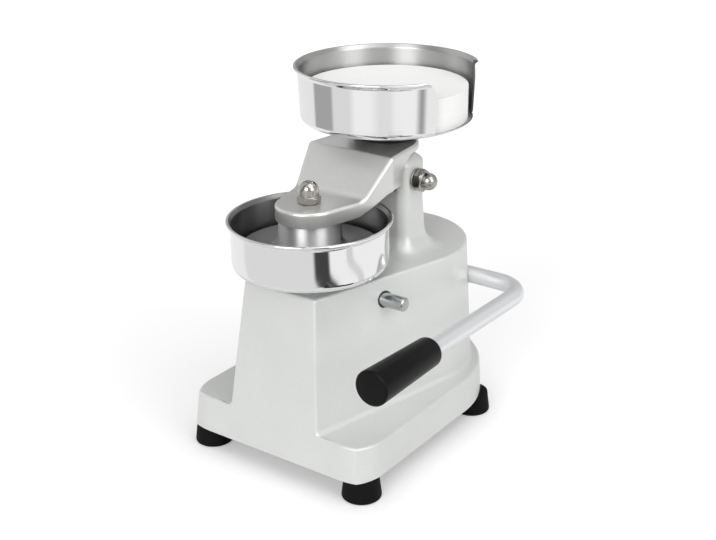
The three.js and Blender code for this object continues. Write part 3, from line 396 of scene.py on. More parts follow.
finishes = {
    "stand": {"metallic": 0.35, "roughness": 0.4, "glossRange": 0.05, "colour": "#dcdddb", "dark": "#d6d8d6",
              "light": "#e0e1df", "grit": 1.1, "cloud": 38, "cloudShare": 0.35, "bump": 0.22, "depth": 0.12},
    "arm": {"metallic": 0.8, "roughness": 0.36, "glossRange": 0.05, "colour": "#dadad8", "dark": "#d4d4d2",
            "light": "#e0e0de", "grit": 1.0, "cloud": 30, "cloudShare": 0.35, "bump": 0.2, "depth": 0.1},
    "mirror": {"roughness": 0.06, "glossRange": 0.018, "colour": "#ececed", "rings": 2.2, "ringPull": 0.6,
               "bump": 0.03, "depth": 0.01, "stretch": 0.3},
    "brushed": {"roughness": 0.36, "glossRange": 0.054, "colour": "#bebebd", "rings": 0.6, "ringPull": 0.4,
                "bump": 0.05, "depth": 0.01, "stretch": 0.88},
    # painted shade: the same brushed stainless as the upper bowl's inside, given a darker colour for the
    # shade under the arm and plate
    "brushedPaintedShade": {"roughness": 0.32, "glossRange": 0.0192, "colour": "#a4a4a4", "rings": 0.4,
                    "ringPull": 0.3, "bump": 0.015, "depth": 0.005, "stretch": 0.7},
    "turned": {"roughness": 0.44, "glossRange": 0.0264, "colour": "#cbcccc", "rings": 0.4, "ringPull": 0.3,
               "bump": 0.012, "depth": 0.003, "stretch": 0.95},
    # painted light: the hub is the same turned steel as the plate, given a lighter colour so that its streaks
    # show brighter; its rings and streaks themselves are real
    "turnedPaintedLight": {"roughness": 0.5, "glossRange": 0.025, "colour": "#f2f2f2", "rings": 0.4,
                     "ringPull": 0.3, "bump": 0.01, "depth": 0.003, "stretch": 1.0},
    # painted shade: the spacer is plain turned steel, given a dark colour for the deep shade it sits in under
    # the upper bowl
    "turnedPaintedShade": {"roughness": 0.4, "glossRange": 0.06, "colour": "#4b4c4c", "rings": 0.6, "ringPull": 0.3,
                   "bump": 0.05, "depth": 0.01, "stretch": 0.4},
    "nut": {"roughness": 0.15, "glossRange": 0.045, "colour": "#aeaba6", "wear": 4,
            "bump": 0.12, "depth": 0.05},
    "zinc": {"roughness": 0.22, "glossRange": 0.066, "colour": "#b4b9b9", "wear": 3,
             "bump": 0.12, "depth": 0.05},
    "bar": {"metallic": 0.65, "roughness": 0.34, "glossRange": 0.0408, "colour": "#e9eaec", "wear": 9,
            "bump": 0.04, "depth": 0.02},
    "steel": {"roughness": 0.36, "glossRange": 0.108, "colour": "#a3a5a6", "wear": 3,
              "bump": 0.2, "depth": 0.06},
    # painted shade: the cut edge of the stainless sheet is given a dark grey for the shade and dark
    # reflection seen along it
    "shadedCutEdge": {"roughness": 0.5, "glossRange": 0.1, "colour": "#6c6d6d", "wear": 2,
                 "bump": 0.15, "depth": 0.05},
    "bronze": {"roughness": 0.34, "glossRange": 0.102, "colour": "#a98a55", "wear": 3,
               "bump": 0.2, "depth": 0.06},
    "rubber": {"metallic": 0.0, "roughness": 0.6, "glossRange": 0.08, "colour": "#0d0d0d", "light": "#131313",
               "grain": 0.9, "dust": 14, "bump": 0.18, "depth": 0.06, "sheen": 0.09},
    "grip": {"metallic": 0.0, "roughness": 0.36, "glossRange": 0.04, "colour": "#0a0a0a", "light": "#0f0f0f",
             "grain": 1.1, "dust": 20, "bump": 0.12, "depth": 0.05, "sheen": 0.14},
    "paper": {"metallic": 0.0, "roughness": 0.5, "colour": "#f9f9f8", "dark": "#f3f3f1", "sheets": 1.6,
              "fibre": 2.4, "fibreShare": 0.4, "bump": 0.08, "depth": 0.04},
}
slotMaterials = {
    "casting": castMetal("blasted cast aluminium", finishes["stand"]),
    "arm_casting": castMetal("satin cast aluminium", finishes["arm"]),
    "bowl": turnedMetal("polished stainless, lower bowl", finishes["mirror"], bowlY),
    "turned": turnedMetal("turned steel, plate", finishes["turned"], bowlY),
    "fastener": plainMetal("stainless steel, pressed and tumbled", finishes["nut"]),
    "zinc": plainMetal("bright zinc on steel", finishes["zinc"]),
    "bar": plainMetal("satin chrome on steel bar", finishes["bar"]),
    "steel": plainMetal("plain cold-drawn steel", finishes["steel"]),
    "bronze": plainMetal("bearing bronze", finishes["bronze"]),
    "rubber": mouldedBlack("black rubber, moulded", finishes["rubber"]),
    "grip": mouldedBlack("black plastic, moulded", finishes["grip"]),
    "paper": waxedPaper("waxed paper", finishes["paper"]),
}
mirrorUpper = turnedMetal("polished stainless, upper bowl", finishes["mirror"], paperY)
# the lower bowl's brushed inside is a darker copy of the upper one's, as painted shade
brushedLower = turnedMetal("brushed stainless, lower bowl, painted shade", finishes["brushedPaintedShade"], bowlY)
brushedUpper = turnedMetal("brushed stainless, upper bowl", finishes["brushed"], paperY)
# the sheet's cut edge is painted dark, as painted shade
shadedCutEdge = plainMetal("sheared edge of stainless sheet, painted dark", finishes["shadedCutEdge"])
# the hub's steel is painted lighter than the plate's, as painted light
turnedHub = turnedMetal("turned steel, hub, painted lighter", finishes["turnedPaintedLight"], bowlY)
# the spacer's steel is painted dark, as painted shade under the upper bowl
turnedSpacer = turnedMetal("turned steel, spacer, painted shade", finishes["turnedPaintedShade"], paperY)
print("materials made")

# Stand
standSize = {
    "front": -134.7, "lean": 0.13, "wall": 5,
    "points": (10, 16, 18, 34, 44),  # per stretch of half an outline
    "skirt": {"frontHalf": 100.4, "corner": 28, "rearRadius": 100.4, "rearY": 29.5, "draft": 1.6,
              "edge": 2.2},
    "ridge": {"at": -54, "reach": 42, "height": 3.2},
    "ledge": {"frontHalf": 48.6, "corner": 2.8, "rearRadius": 84.5, "rearY": 40},
    "deck": {"frontHalf": 38.2, "corner": 2.4, "rearRadius": 77.5, "rearY": 42, "edge": 2.2},
    "fillet": 4, "sideShare": 0.24, "bottomEdge": 0.9, "edgeFade": 8,
    "column": {"halfX": 42, "halfY": 17.5, "corner": 10, "spread": 2.5, "foot": 18},
    "hollow": {"halfX": 28, "halfY": 13, "corner": 7, "flare": 13, "flareHeight": 26},
    "seat": {"radius": 33, "fillet": 3}, "earRadius": 23.5, "earRounding": 9,
    "post": {"radius": 12, "top": 60}, "leverBoss": {"radius": 17, "inner": 30},
    "rockerBoss": {"radius": 12, "inner": 34},
    "fork": {"half": 32, "front": 9.5, "rear": 12.5}, "slot": {"half": 11.9, "rise": 24.5},
    # bores along X and Z: radius, start and end
    "bores": {"leverBush": (11.8, -46.3, 46.3), "lever": (8.6, 30, 101), "rocker": (7.8, -53.3, 101),
              "hinge": (6.3, -50, 50), "knuckle": (18, -32, 32), "ejector": (9.8, 160, 187),
              "footScrew": (3.3, 14, 35.1)},
}
footPlaces = {"front_right": (84.5, -115.2), "front_left": (-84.5, -115.2),
              "rear_right": (82.2, 71.5), "rear_left": (-82.2, 71.5)}
bowlScrews = {"radius": 2.8, "reach": 22, "angles": (90, 210, 330), "inStand": (168.3, 187),
              "inBowl": (178, 190)}
# where the tower's front meets the skirt's
towerFront = standSize["ledge"]["frontHalf"] + standSize["fillet"] - standSize["ledge"]["corner"]


def frontAt(z):
    # the front of skirt and tower is one leaning plane
    return standSize["front"] + standSize["lean"] * (z - footHeight)


def ridgeBend(corner, lean, count):
    # angles and radii round a corner of the skirt: the front runs on flatter to an upright ridge,
    # height * (1 / sine - 1) as a share of that at the ridge, and past it height * nearness ^ 1.5;
    # the points are drawn towards the ridge: angle from it = whole arc on that side * step ^ 1.7
    ridge, step = standSize["ridge"], np.linspace(-1, 1, count, endpoint=False)
    at = np.radians(ridge["at"])
    angle = at + np.where(step < 0, at + np.pi / 2, lean - at) * np.sign(step) * np.abs(step) ** 1.7
    near = np.clip(1 - np.abs(np.degrees(angle - at)) / ridge["reach"], 0, 1)
    flat = (1 / np.abs(np.sin(np.minimum(angle, at))) - 1) / (1 / np.abs(np.sin(at)) - 1)
    return angle, corner + ridge["height"] * np.where(step < 0, flat, near ** 1.5)


def standOutline(size, z, inset=0, grow=0, isTower=False):
    # half an outline runs from the middle of the front round one corner, along the side that is
    # tangent to both arcs, and round the rear arc; its mirror image closes it
    a, b, c, d, e = standSize["points"]
    front, rearY = frontAt(z), size["rearY"]
    reach = np.hypot(size["frontHalf"], front - rearY)
    lean = np.arctan2(front - rearY, size["frontHalf"]) + np.arccos(size["rearRadius"] / reach)
    rear = size["rearRadius"] - inset + grow
    corner = max(size["corner"] - inset, size["corner"] / 4)
    y = front + inset + corner
    x = (rear - corner - np.sin(lean) * (y - rearY)) / np.cos(lean)
    outward = np.array([np.cos(lean), np.sin(lean)])
    cornerEnd, sideEnd = (x, y) + corner * outward, (0, rearY) + rear * outward
    frontMiddle, split, frontCorner = np.array([(across, front + inset) for across in (0, towerFront, x)])
    if isTower:
        part = cornerEnd + (sideEnd - cornerEnd) * standSize["sideShare"]
        pieces = [stretch(frontMiddle, frontCorner, a), arcPoints(x, y, corner, -np.pi / 2, lean, b),
                  stretch(cornerEnd, part, c), stretch(part, sideEnd, d)]
    else:
        angle, radius = ridgeBend(corner, lean, c)
        bend = np.column_stack([x + radius * np.cos(angle), y + radius * np.sin(angle)])
        pieces = [stretch(frontMiddle, split, a), stretch(split, frontCorner, b), bend,
                  stretch(cornerEnd, sideEnd, d)]
    half = np.concatenate([*pieces, arcPoints(0, rearY, rear, lean, np.pi / 2, e, last=True)])
    return np.concatenate([half, (half * [-1, 1])[-2:0:-1]])


def skirtRing(z, narrow=0, inset=0):
    skirt = standSize["skirt"]
    size = {**skirt, "frontHalf": skirt["frontHalf"] - narrow, "rearRadius": skirt["rearRadius"] - narrow}
    return atHeight(standOutline(size, z, inset), z)


def towerRing(z, inset=0, grow=0):
    # outline between those of ledge and deck
    share = (z - skirtTop) / (deckZ - skirtTop)
    low, high = standSize["ledge"], standSize["deck"]
    size = {key: low[key] + (high[key] - low[key]) * share for key in low}
    return atHeight(standOutline(size, z, inset, grow, isTower=True), z)


def skirtRings():
    # draft up the side, then a quarter-round edge that fades out where the front meets the tower
    small, draft, edge = standSize["bottomEdge"], standSize["skirt"]["draft"], standSize["skirt"]["edge"]
    rings = [skirtRing(footHeight, inset=small), skirtRing(footHeight + small / 3, inset=small / 3)]
    for z in np.linspace(footHeight + small, skirtTop - edge, 4):
        rings.append(skirtRing(z, draft * (z - footHeight) / (skirtTop - footHeight)))
    for turn in quarterTurn(7)[1:]:
        z, inset = skirtTop - edge + edge * np.sin(turn), edge * (1 - np.cos(turn))
        ring = skirtRing(z, draft, inset)
        onFront = np.abs(ring[:, 1] - (frontAt(z) + inset)) < 1e-6
        fade = np.clip((np.abs(ring[:, 0]) - towerFront) / standSize["edgeFade"], 0, 1)
        ring[:, 1] = np.where(onFront, frontAt(z) + inset * fade, ring[:, 1])
        rings.append(ring)
    return rings


def towerRings(limit):
    # hollow fillet at the foot, held inside the limit at the back, leaning walls, quarter-round edge
    foot, edge, gap = standSize["fillet"], standSize["deck"]["edge"], 0.4
    centre = np.array([0, standSize["skirt"]["rearY"]])
    away = limit[:, :2] - centre
    angle = np.arctan2(away[:, 1], away[:, 0])
    order = np.argsort(angle)
    rings = []
    for turn in quarterTurn(10):
        ring = towerRing(skirtTop + foot * (1 - np.cos(turn)), grow=foot * (1 - np.sin(turn)))
        out = ring[:, :2] - centre
        reach = np.hypot(*out.T)
        most = np.interp(np.arctan2(out[:, 1], out[:, 0]), angle[order], np.hypot(*away.T)[order],
                         period=2 * np.pi) - gap
        isPast = (ring[:, 1] > 0) & (reach > most)
        ring[:, :2] = centre + out * np.where(isPast, most / reach, 1)[:, None]
        rings.append(ring)
    rings += [towerRing(z) for z in np.linspace(skirtTop + foot, deckZ - edge, 5)[1:]]
    rings += [towerRing(deckZ - edge + edge * np.sin(turn), edge * (1 - np.cos(turn)))
              for turn in quarterTurn(8)[1:]]
    return [*rings, towerRing(deckZ, edge + 1)]


def standBody():
    skirt = skirtRings()
    tower = towerRings(skirt[-1])
    between = [skirt[-1] + (tower[0] - skirt[-1]) * share for share in (0.06, 0.5, 0.94)]
    return ringSurface(np.stack(skirt + between + tower))


def roundedBox(halfX, halfY, corner, z):
    # rounded rectangle about the hinge line, 14 points on each corner and seven between corners
    x, y, quarter = halfX - corner, halfY - corner, np.pi / 2
    arcs = [arcPoints(x * right, hinge[0] + y * back, corner, quarter * k, quarter * (k + 1), 14, last=True)
            for right, back, k in ((1, -1, -1), (1, 1, 0), (-1, 1, 1), (-1, -1, 2))]
    runs = [stretch(arc[-1], following[0], 8)[1:] for arc, following in zip(arcs, arcs[1:] + arcs[:1])]
    return atHeight(np.concatenate([points for pair in zip(arcs, runs) for points in pair]), z)


def columnRing(wide, soft, z):
    column = standSize["column"]
    return roundedBox(column["halfX"] + wide, column["halfY"] + wide, column["corner"] + soft, z)


def columnBody():
    # walls that spread slightly downwards and a fillet at the foot: z = foot * (1 - cosine), width
    # more by foot * (1 - sine)
    column, high = standSize["column"], hinge[1] - standSize["column"]["halfY"]
    rings = []
    for turn in quarterTurn(14):
        z = deckZ + column["foot"] * (1 - np.cos(turn))
        extra = column["foot"] * (1 - np.sin(turn))
        rings.append(columnRing(column["spread"] * (high - z) / (high - deckZ) + extra, extra, z))
    sunk, top = rings[0] - [0, 0, 4], columnRing(0, 0, hinge[1] - 9)
    return ringSurface(np.stack([sunk, *rings, columnRing(0, 0, high), top]))


def earBody():
    # upright sides under a round top, carried along X, just inside the column's faces:
    # top z = hinge z + sqrt(radius squared - distance from the hinge squared)
    column, (y, z), skin, depth = standSize["column"], hinge, 0.05, 30
    across = np.sin(np.linspace(np.pi / 2, -np.pi / 2, 40))
    rings = []
    for x, less in bothEnds(column["halfX"] - skin, standSize["earRounding"], 11):
        away = (column["halfY"] - skin - less) * across
        top = z + np.sqrt((standSize["earRadius"] - skin - less) ** 2 - away ** 2)
        feet = [(y + away[-1], z - depth), (y + away[0], z - depth)]
        rings.append(atX(np.concatenate([np.column_stack([y + away, top]), feet]), x))
    return ringSurface(np.stack(rings))


def seatBody(radius, fillet):
    # low round pad that the lower bowl stands on, with a hollow fillet round it
    top, foot, low = bowlFloor - 0.3, deckZ - 0.05, deckZ - 4.5
    return revolve(roundPath([(0, low), (radius + 8, low), (radius + 8, foot), (radius, foot, fillet),
                              (radius, top, 1), (0, top)]), 96, 0, bowlY)


def columnHollow(halfX, halfY, corner, flare, flareHeight):
    low = deckZ - standSize["wall"]
    return ringSurface(np.stack([
        roundedBox(halfX + wide, halfY + wide, corner + wide, z)
        for z, wide in ((low - 6, flare), (low, flare), (low + flareHeight, 0), (hinge[1] + 6, 0))]))


def hollowBody():
    # inside of skirt, tower and column, less the posts for the feet and the bosses for the shafts
    wall, post, low, far = standSize["wall"], standSize["post"], 14, 110
    top, deck = skirtTop - wall, deckZ - wall
    narrow = standSize["skirt"]["draft"]
    skirt = ringSurface(np.stack([skirtRing(low, 0, wall), skirtRing(top, narrow, wall)]))
    tower = ringSurface(np.stack([towerRing(top - wall, wall), towerRing(deck, wall)]))
    posts = [rod("Z", post["radius"], 10, post["top"], *place) for place in footPlaces.values()]
    bosses = [rod("X", boss["radius"], side * boss["inner"], side * far, *axis)
              for boss, axis in ((standSize["leverBoss"], leverAxis), (standSize["rockerBoss"], rockerAxis))
              for side in (-1, 1)]
    return cut(join(skirt, tower, columnHollow(**standSize["hollow"])), *posts, *bosses)


def bowlScrewHoles(span):
    reach, turn = bowlScrews["reach"], np.radians(bowlScrews["angles"])
    return [rod("Z", bowlScrews["radius"], *span, reach * np.cos(a), bowlY + reach * np.sin(a), 32)
            for a in turn]


def standHoles():
    # screw holes, bores for the bushes and shafts, and the fork with its slot, open to the front
    (y, z), room = hinge, 36
    bores, fork, slot = standSize["bores"], standSize["fork"], standSize["slot"]
    span = (-fork["half"], fork["half"])
    return [
        *[rod("Z", *bores["footScrew"], *place, 32) for place in footPlaces.values()],
        *bowlScrewHoles(bowlScrews["inStand"]),
        rod("X", *bores["leverBush"], *leverAxis), rod("X", *bores["lever"], *leverAxis),
        rod("X", *bores["rocker"], *rockerAxis), rod("X", *bores["hinge"], *hinge),
        rod("Z", *bores["ejector"], 0, bowlY), rod("X", *bores["knuckle"], *hinge),
        box(span, (y - room, y), (z - fork["front"], z + room)),
        box(span, (y - 0.6, y + room), (z - fork["rear"], z + room)),
        box((-slot["half"], slot["half"]), (y - room, y), (deckZ + slot["rise"], z + room)),
    ]


casting = join(standBody(), columnBody(), earBody(), seatBody(**standSize["seat"]))
casting = cut(casting, hollowBody(), *standHoles())
standCasting = addPiece("stand_casting", casting, "stand", "body_casting", "casting", smooth=32)
weighNormals(standCasting)
print("stand casting:", len(casting.polygons), "faces")

# Rubber feet
footSize = {"bottomRadius": 18, "topRadius": 15.3, "height": 20.2, "edge": 2, "pocket": 6.6, "pocketDepth": 9,
            "bore": 3.3}


def footBody(x, y, bottomRadius, topRadius, height, edge, pocket, pocketDepth, bore):
    # tapered foot with a pocket from below for the screw's head
    return revolve(roundPath([
        (bore, pocketDepth), (pocket, pocketDepth, 0.3), (pocket, 0, 0.8), (bottomRadius - 0.2, 0, edge),
        (topRadius, height, 0.9), (bore, height, 0.3), (bore, pocketDepth)]), 96, x, y)


for corner, place in footPlaces.items():
    addPiece(f"rubber_foot_{corner}", footBody(*place, **footSize), "stand", f"foot_{corner}", "rubber")
print("feet made")

# Lower bowl
bowlSize = {"floor": bowlFloor, "height": 43.7, "foot": 68.7, "top": 68.7, "rim": 72, "sheet": 1.4, "bend": 7,
            "hole": 9.8, "lip": 4.2}
bead = ((0.9, 2.6, 0.6), (0, 1.9, 0.7), (0, 0, 0.95), (2.4, 0, 0.9))  # in and down from the rim, radius


def bowlProfile(floor, height, foot, top, rim, sheet, bend, hole, lip):
    # sheet of one thickness: floor, bend, wall and a lip that curls out to a rounded bead
    rimZ, start = floor + height, top - (top - foot) * lip / height
    outside = [(foot, floor, bend), (start, rimZ - lip, 3),
               *[(rim - across, rimZ - down, radius) for across, down, radius in bead]]
    inside = [(start - sheet, rimZ - lip + 0.6, 3), (foot - sheet, floor + sheet, bend - sheet)]
    return roundPath([(hole, floor), *outside, *inside, (hole, floor + sheet)], 8)


def paintInside(piece, axisY, floor, cutEdge=0):
    # faces that look at the axis or lie on the floor inside take the second material, and faces
    # that look along the wall, where the sheet is cut, take the one given for them
    normal, place = readFaces(piece, axisY)
    reach = np.maximum(np.hypot(place[:, 0], place[:, 1]), 1e-6)
    isInward = (normal[:, :2] * place[:, :2]).sum(1) / reach < -0.35
    isInside = isInward | ((normal[:, 2] > 0.3) & (place[:, 2] < floor + 20))
    along = np.abs(normal[:, 1] * place[:, 0] - normal[:, 0] * place[:, 1]) / reach
    paint(piece, np.where(along > 0.35, cutEdge, isInside))


profile = bowlProfile(**bowlSize)
bowl = revolve(np.concatenate([profile, profile[:1]]), 192, 0, bowlY)
bowl = cut(bowl, *bowlScrewHoles(bowlScrews["inBowl"]))
lowerBowl = addPiece(
    "lower_forming_bowl", bowl, "stand", "lower_bowl", "bowl", [slotMaterials["bowl"], brushedLower], 40)
# the inside takes the brushed stainless that is painted darker for the shade under arm and plate
paintInside(lowerBowl, bowlY, bowlFloor)
weighNormals(lowerBowl)
print("lower bowl made")

# Ejector disc
discSize = {"radius": 66.3, "bottom": 182.5, "thick": 3, "edge": 1, "hole": 4.3}


def discBody(radius, bottom, thick, edge, hole):
    # disc that lies in the bowl, with a hole for the rod
    top = bottom + thick
    profile = roundPath([(0, bottom), (radius, bottom, edge), (radius, top, 0.8), (0, top)])
    return cut(revolve(profile, 160, 0, bowlY), rod("Z", hole, 180, 190, 0, bowlY, 48))


addPiece("ejector_disc_turned", discBody(**discSize), "ejector", "ejector_disc", "turned")

# Press arm
armSize = {
    "bossRadius": 29.5, "edgeY": -10.8, "platformHalf": 45.8, "tailRadius": 41, "tailY": 25,
    "webY": -42, "bossCrease": 5, "edgeCrease": 1.5, "edge": 2.8, "lowEdge": 1.4, "cornerRadius": 4,
    "bellyY": (-47.5, -44, -36, -28.3, -22, -16, -9, 25, 25.9),
    "bellyZ": (223.8, 225, 227.9, 231.3, 234.6, 237.4, 239, 240, 263),
    "hood": {"halfX": 31.65, "front": 10, "rear": 57, "corner": 20, "bottom": 248, "top": 265},
    "knuckle": 16, "knuckleHalf": 31.7, "earSpace": 25.5, "underside": 263, "pocket": (-34, 8, 27),
    "web": 8, "platform": 7.1,
    "lug": {"reach": 22, "angle": 76, "root": 12, "eye": 6.5, "thick": 6.5, "starts": (4, -10.5)},
    # bores along X and Z: radius, start and end
    "bores": {"lug": (8.5, -4, 4), "hinge": (6.3, -60, 60), "pin": (3.05, -60, 60),
              "boss": (6.3, 171, 290), "stud": (5.3, 256.5, 290)},
}
webY, edgeY = armSize["webY"], armSize["edgeY"]  # front and rear end of the climbing web
webSlope = (platformTop - bossTop) / (edgeY - webY)


def armOutline():
    # nose arc, sides tangent to it that widen to the platform's edge, then a round tail
    nose, half = armSize["bossRadius"], armSize["platformHalf"]
    tailX, tailY = armSize["tailRadius"], armSize["tailY"]
    lean = np.arccos(nose / np.hypot(half, edgeY - bowlY)) - np.arctan2(edgeY - bowlY, half)
    start = (nose * np.cos(lean), bowlY - nose * np.sin(lean))
    path = roundPath([start, (half, edgeY, armSize["cornerRadius"]), (tailX, tailY)], 8)
    # straight stretches are filled so that the creases across the arm have points to bend at
    marks = (start[1], webY - 7, webY + 7, edgeY - 5, edgeY + 5, tailY)
    y = np.concatenate([np.linspace(low, high, count, endpoint=False)
                        for low, high, count in zip(marks, marks[1:], (10, 15, 10, 26, 14))])
    x = np.interp(y, path[:, 1], path[:, 0])
    return np.concatenate([arcPoints(0, bowlY, nose, -np.pi / 2, -lean, 40), np.column_stack([x, y]),
                           arcPoints(0, tailY, tailX, 0, np.pi / 2, 36, last=True)])


def armTop(y):
    # flat boss, slope and flat platform, with a parabola across each change of slope
    a, b = armSize["bossCrease"], armSize["edgeCrease"]
    fromFoot, toEdge = y - webY, edgeY - y
    low = bossTop + webSlope * np.clip(fromFoot + a, 0, None) ** 2 / (4 * a)
    high = platformTop - webSlope * np.clip(toEdge + b, 0, None) ** 2 / (4 * b)
    return np.where(fromFoot < a, low, np.where(toEdge < b, high, bossTop + webSlope * fromFoot))


def belly(y):
    return np.interp(y, armSize["bellyY"], armSize["bellyZ"])


def armBody():
    # outline drawn inwards along its normals by inset, at a height that depends on y: under face,
    # quarter-round lower edge, wall, quarter-round upper edge and top
    half, edge, lowEdge = armOutline(), armSize["edge"], armSize["lowEdge"]
    tangent = np.gradient(half, axis=0)
    inward = np.column_stack([-tangent[:, 1], tangent[:, 0]])
    inward /= np.linalg.norm(inward, axis=1)[:, None]
    inward[0], inward[-1] = (0, 1), (0, -1)

    def ring(inset, height):
        moved = half + inward * inset
        moved[:, 0] = np.maximum(moved[:, 0], 0)
        moved[[0, -1], 0] = 0
        points = np.column_stack([moved, height(moved[:, 1])])
        return np.concatenate([points, (points * [-1, 1, 1])[-2:0:-1]])

    rings = [ring(lowEdge, belly) * [share, 1, 1] for share in (0, 0.5, 0.96)]
    for turn in quarterTurn(5):
        inset, rise = lowEdge * (1 - np.sin(turn)), lowEdge * (1 - np.cos(turn))
        rings.append(ring(inset, lambda y: belly(y) + rise))
    for share in (0.33, 0.66):
        rings.append(ring(0, lambda y: (belly(y) + lowEdge) * (1 - share) + (armTop(y) - edge) * share))
    for turn in quarterTurn(7):
        inset, drop = edge * (1 - np.cos(turn)), edge * (1 - np.sin(turn))
        rings.append(ring(inset, lambda y: armTop(y) - drop))
    rings += [ring(edge, armTop) * [share, 1, 1] for share in (0.97, 0.5, 0)]
    return ringSurface(np.stack(rings), caps=False)


def hoodBody(halfX, front, rear, corner, bottom, top):
    # block with round rear corners over the knuckle, drawn in a little at its foot
    outline = roundPath([(0, front), (halfX, front, 4), (halfX, rear, corner), (-halfX, rear, corner),
                         (-halfX, front, 4), (0, front)], 16)[:-1]
    centre = np.array([0, (front + rear) / 2])
    small = (outline - centre) * 0.965 + centre
    levels = [(small, bottom), (outline, bottom + 1.4), (outline, top)]
    return ringSurface(np.stack([atHeight(points, z) for points, z in levels]))


def knuckleBody():
    # circle about the hinge carried along X
    rings = [atX(circle(*hinge, armSize["knuckle"] - less, 96), x)
             for x, less in bothEnds(armSize["knuckleHalf"], 1, 5)]
    return ringSurface(np.stack(rings))


def lugBodies():
    # two straps that hang from the hinge, and the place of the pin through them
    lug = armSize["lug"]
    angle = np.radians(lug["angle"])
    pin = (hinge[0] - lug["reach"] * np.cos(angle), hinge[1] - lug["reach"] * np.sin(angle))
    return [strap(hinge, pin, lug["root"], lug["eye"], x, x + lug["thick"]) for x in lug["starts"]], pin


def armHoles(lugPin):
    # pocket under the web, room for the ears: a circle about the hinge, flat where it meets the
    # platform, and the bores; all cuts run on past the arm
    low, far, out, bores = 171, 60, armSize["knuckleHalf"], armSize["bores"]
    front, rear, half = armSize["pocket"]
    drop, ceiling = armSize["web"] * np.hypot(1, webSlope), platformTop - armSize["platform"]
    bend = edgeY + (drop - armSize["platform"]) / webSlope
    nose = platformTop + (front - edgeY) * webSlope - drop
    pocket = np.array([(front, low), (rear, low), (rear, ceiling), (bend, ceiling), (front, nose)])
    room = circle(*hinge, armSize["earSpace"], 160)
    room[:, 1] = np.minimum(room[:, 1], armSize["underside"])
    return [
        sweepX(pocket, -half, half), sweepX(room, out, far), sweepX(room, -far, -out),
        rod("X", *bores["lug"], *lugPin), rod("X", *bores["hinge"], *hinge),
        rod("X", *bores["pin"], *lugPin, 32), rod("Z", *bores["boss"], 0, bowlY),
        rod("Z", *bores["stud"], 0, paperY),
    ]


lugs, lugPin = lugBodies()
armMesh = cut(join(armBody(), hoodBody(**armSize["hood"]), knuckleBody(), *lugs), *armHoles(lugPin))
pressArm = addPiece("press_arm_casting", armMesh, "arm", "press_arm", "arm_casting", smooth=32)
weighNormals(pressArm)
print("press arm:", len(armMesh.polygons), "faces")

# Press plate
plateSize = {"bottomRadius": 60.5, "topRadius": 62.5, "bottom": 190, "top": 198, "hub": 26.6, "waist": 28.2,
             "foot": 35, "flare": 6, "hubTop": 223.5, "hole": 6.3, "holeDepth": 16.3}


def plateBody(bottomRadius, topRadius, bottom, top, hub, waist, foot, flare, hubTop, hole, holeDepth):
    # plate with a rounded rim and a hub that flares out at its foot; the stud sits in its hole
    return revolve(roundPath([
        (0, bottom), (bottomRadius, bottom, 2.5), (topRadius, top - 3.4, 2), (topRadius, top, 1.4),
        (foot, top, 2), (waist, top + flare, 9), (hub, hubTop, 1.2), (hole, hubTop, 0.5),
        (hole, hubTop - holeDepth), (0, hubTop - holeDepth)], 8), 160, 0, bowlY)


pressPlate = addPiece("press_plate_turned", plateBody(**plateSize), "arm", "press_plate", "turned",
                      [slotMaterials["turned"], turnedHub])
# faces of the hub take the steel that is painted lighter, as painted light
paint(pressPlate, readFaces(pressPlate, bowlY)[1][:, 2] > plateSize["top"] + 0.4)

# Spacer under the upper bowl
spacerSize = {"bottom": 270.1, "top": 285.1, "radius": 30, "flange": 36, "flangeThick": 3, "hole": 5.3}


def spacerBody(bottom, top, radius, flange, flangeThick, hole):
    # drum with a flange under the bowl's floor
    return revolve(roundPath([
        (hole, bottom), (radius, bottom, 1), (radius, top - flangeThick, 2), (flange, top - flangeThick, 0.8),
        (flange, top, 0.8), (hole, top), (hole, bottom)]), 128, 0, paperY)


# the spacer takes the steel that is painted dark for the shade under the bowl
addPiece("bowl_spacer", spacerBody(**spacerSize), "arm", "paper_bowl_spacer", "turned", [turnedSpacer])

# Upper bowl with its gap
paperBowlSize = {"floor": paperFloor, "height": 50.2, "foot": 78.7, "top": 80.6, "rim": 84, "sheet": 1.4,
                 "bend": 6, "hole": 0, "lip": 4}
gapSize = {"angles": (-22.5, 38), "corner": 17, "sill": 3}


def gapTool(angles, corner, sill):
    # upright prism through one side of the wall, widening to the rim in two quarter circles
    turn = np.radians(np.mean(angles))
    half = paperBowlSize["top"] * np.sin(np.radians(np.ptp(angles) / 2))
    low, rim = paperFloor + sill, paperFloor + paperBowlSize["height"]
    wide, above, reach = half + corner, rim + 6, (20, 92)
    rightArc = arcPoints(wide, rim - corner, corner, np.pi, np.pi / 2, 16, last=True)
    leftArc = arcPoints(-wide, rim - corner, corner, np.pi / 2, 0, 16, last=True)
    outline = np.concatenate([
        [(half, low)], rightArc, [(wide, above), (-wide, above)], leftArc, [(-half, low)]])
    across, out = np.array([(-np.sin(turn), np.cos(turn), 0), (np.cos(turn), np.sin(turn), 0)])
    flat = outline[:, :1] * across + outline[:, 1:] * [0, 0, 1] + [0, paperY, 0]
    return ringSurface(np.stack([flat + out * distance for distance in reach]))


upper = cut(revolve(bowlProfile(**paperBowlSize), 224, 0, paperY), gapTool(**gapSize))
upperBowl = addPiece(
    "upper_paper_bowl", upper, "arm", "paper_bowl", "bowl", [mirrorUpper, brushedUpper, shadedCutEdge], 40)
# faces of the cut edge at the gap take the stainless that is painted dark for shade
paintInside(upperBowl, paperY, paperFloor, 2)
weighNormals(upperBowl)
print("upper bowl made")

# Stack of paper discs
paperSize = {"radius": 73.6, "bottom": 287.1, "height": 30, "slip": 0.1, "dip": 0.02, "sheets": 40,
             "sag": 0.4, "curl": 0.5}


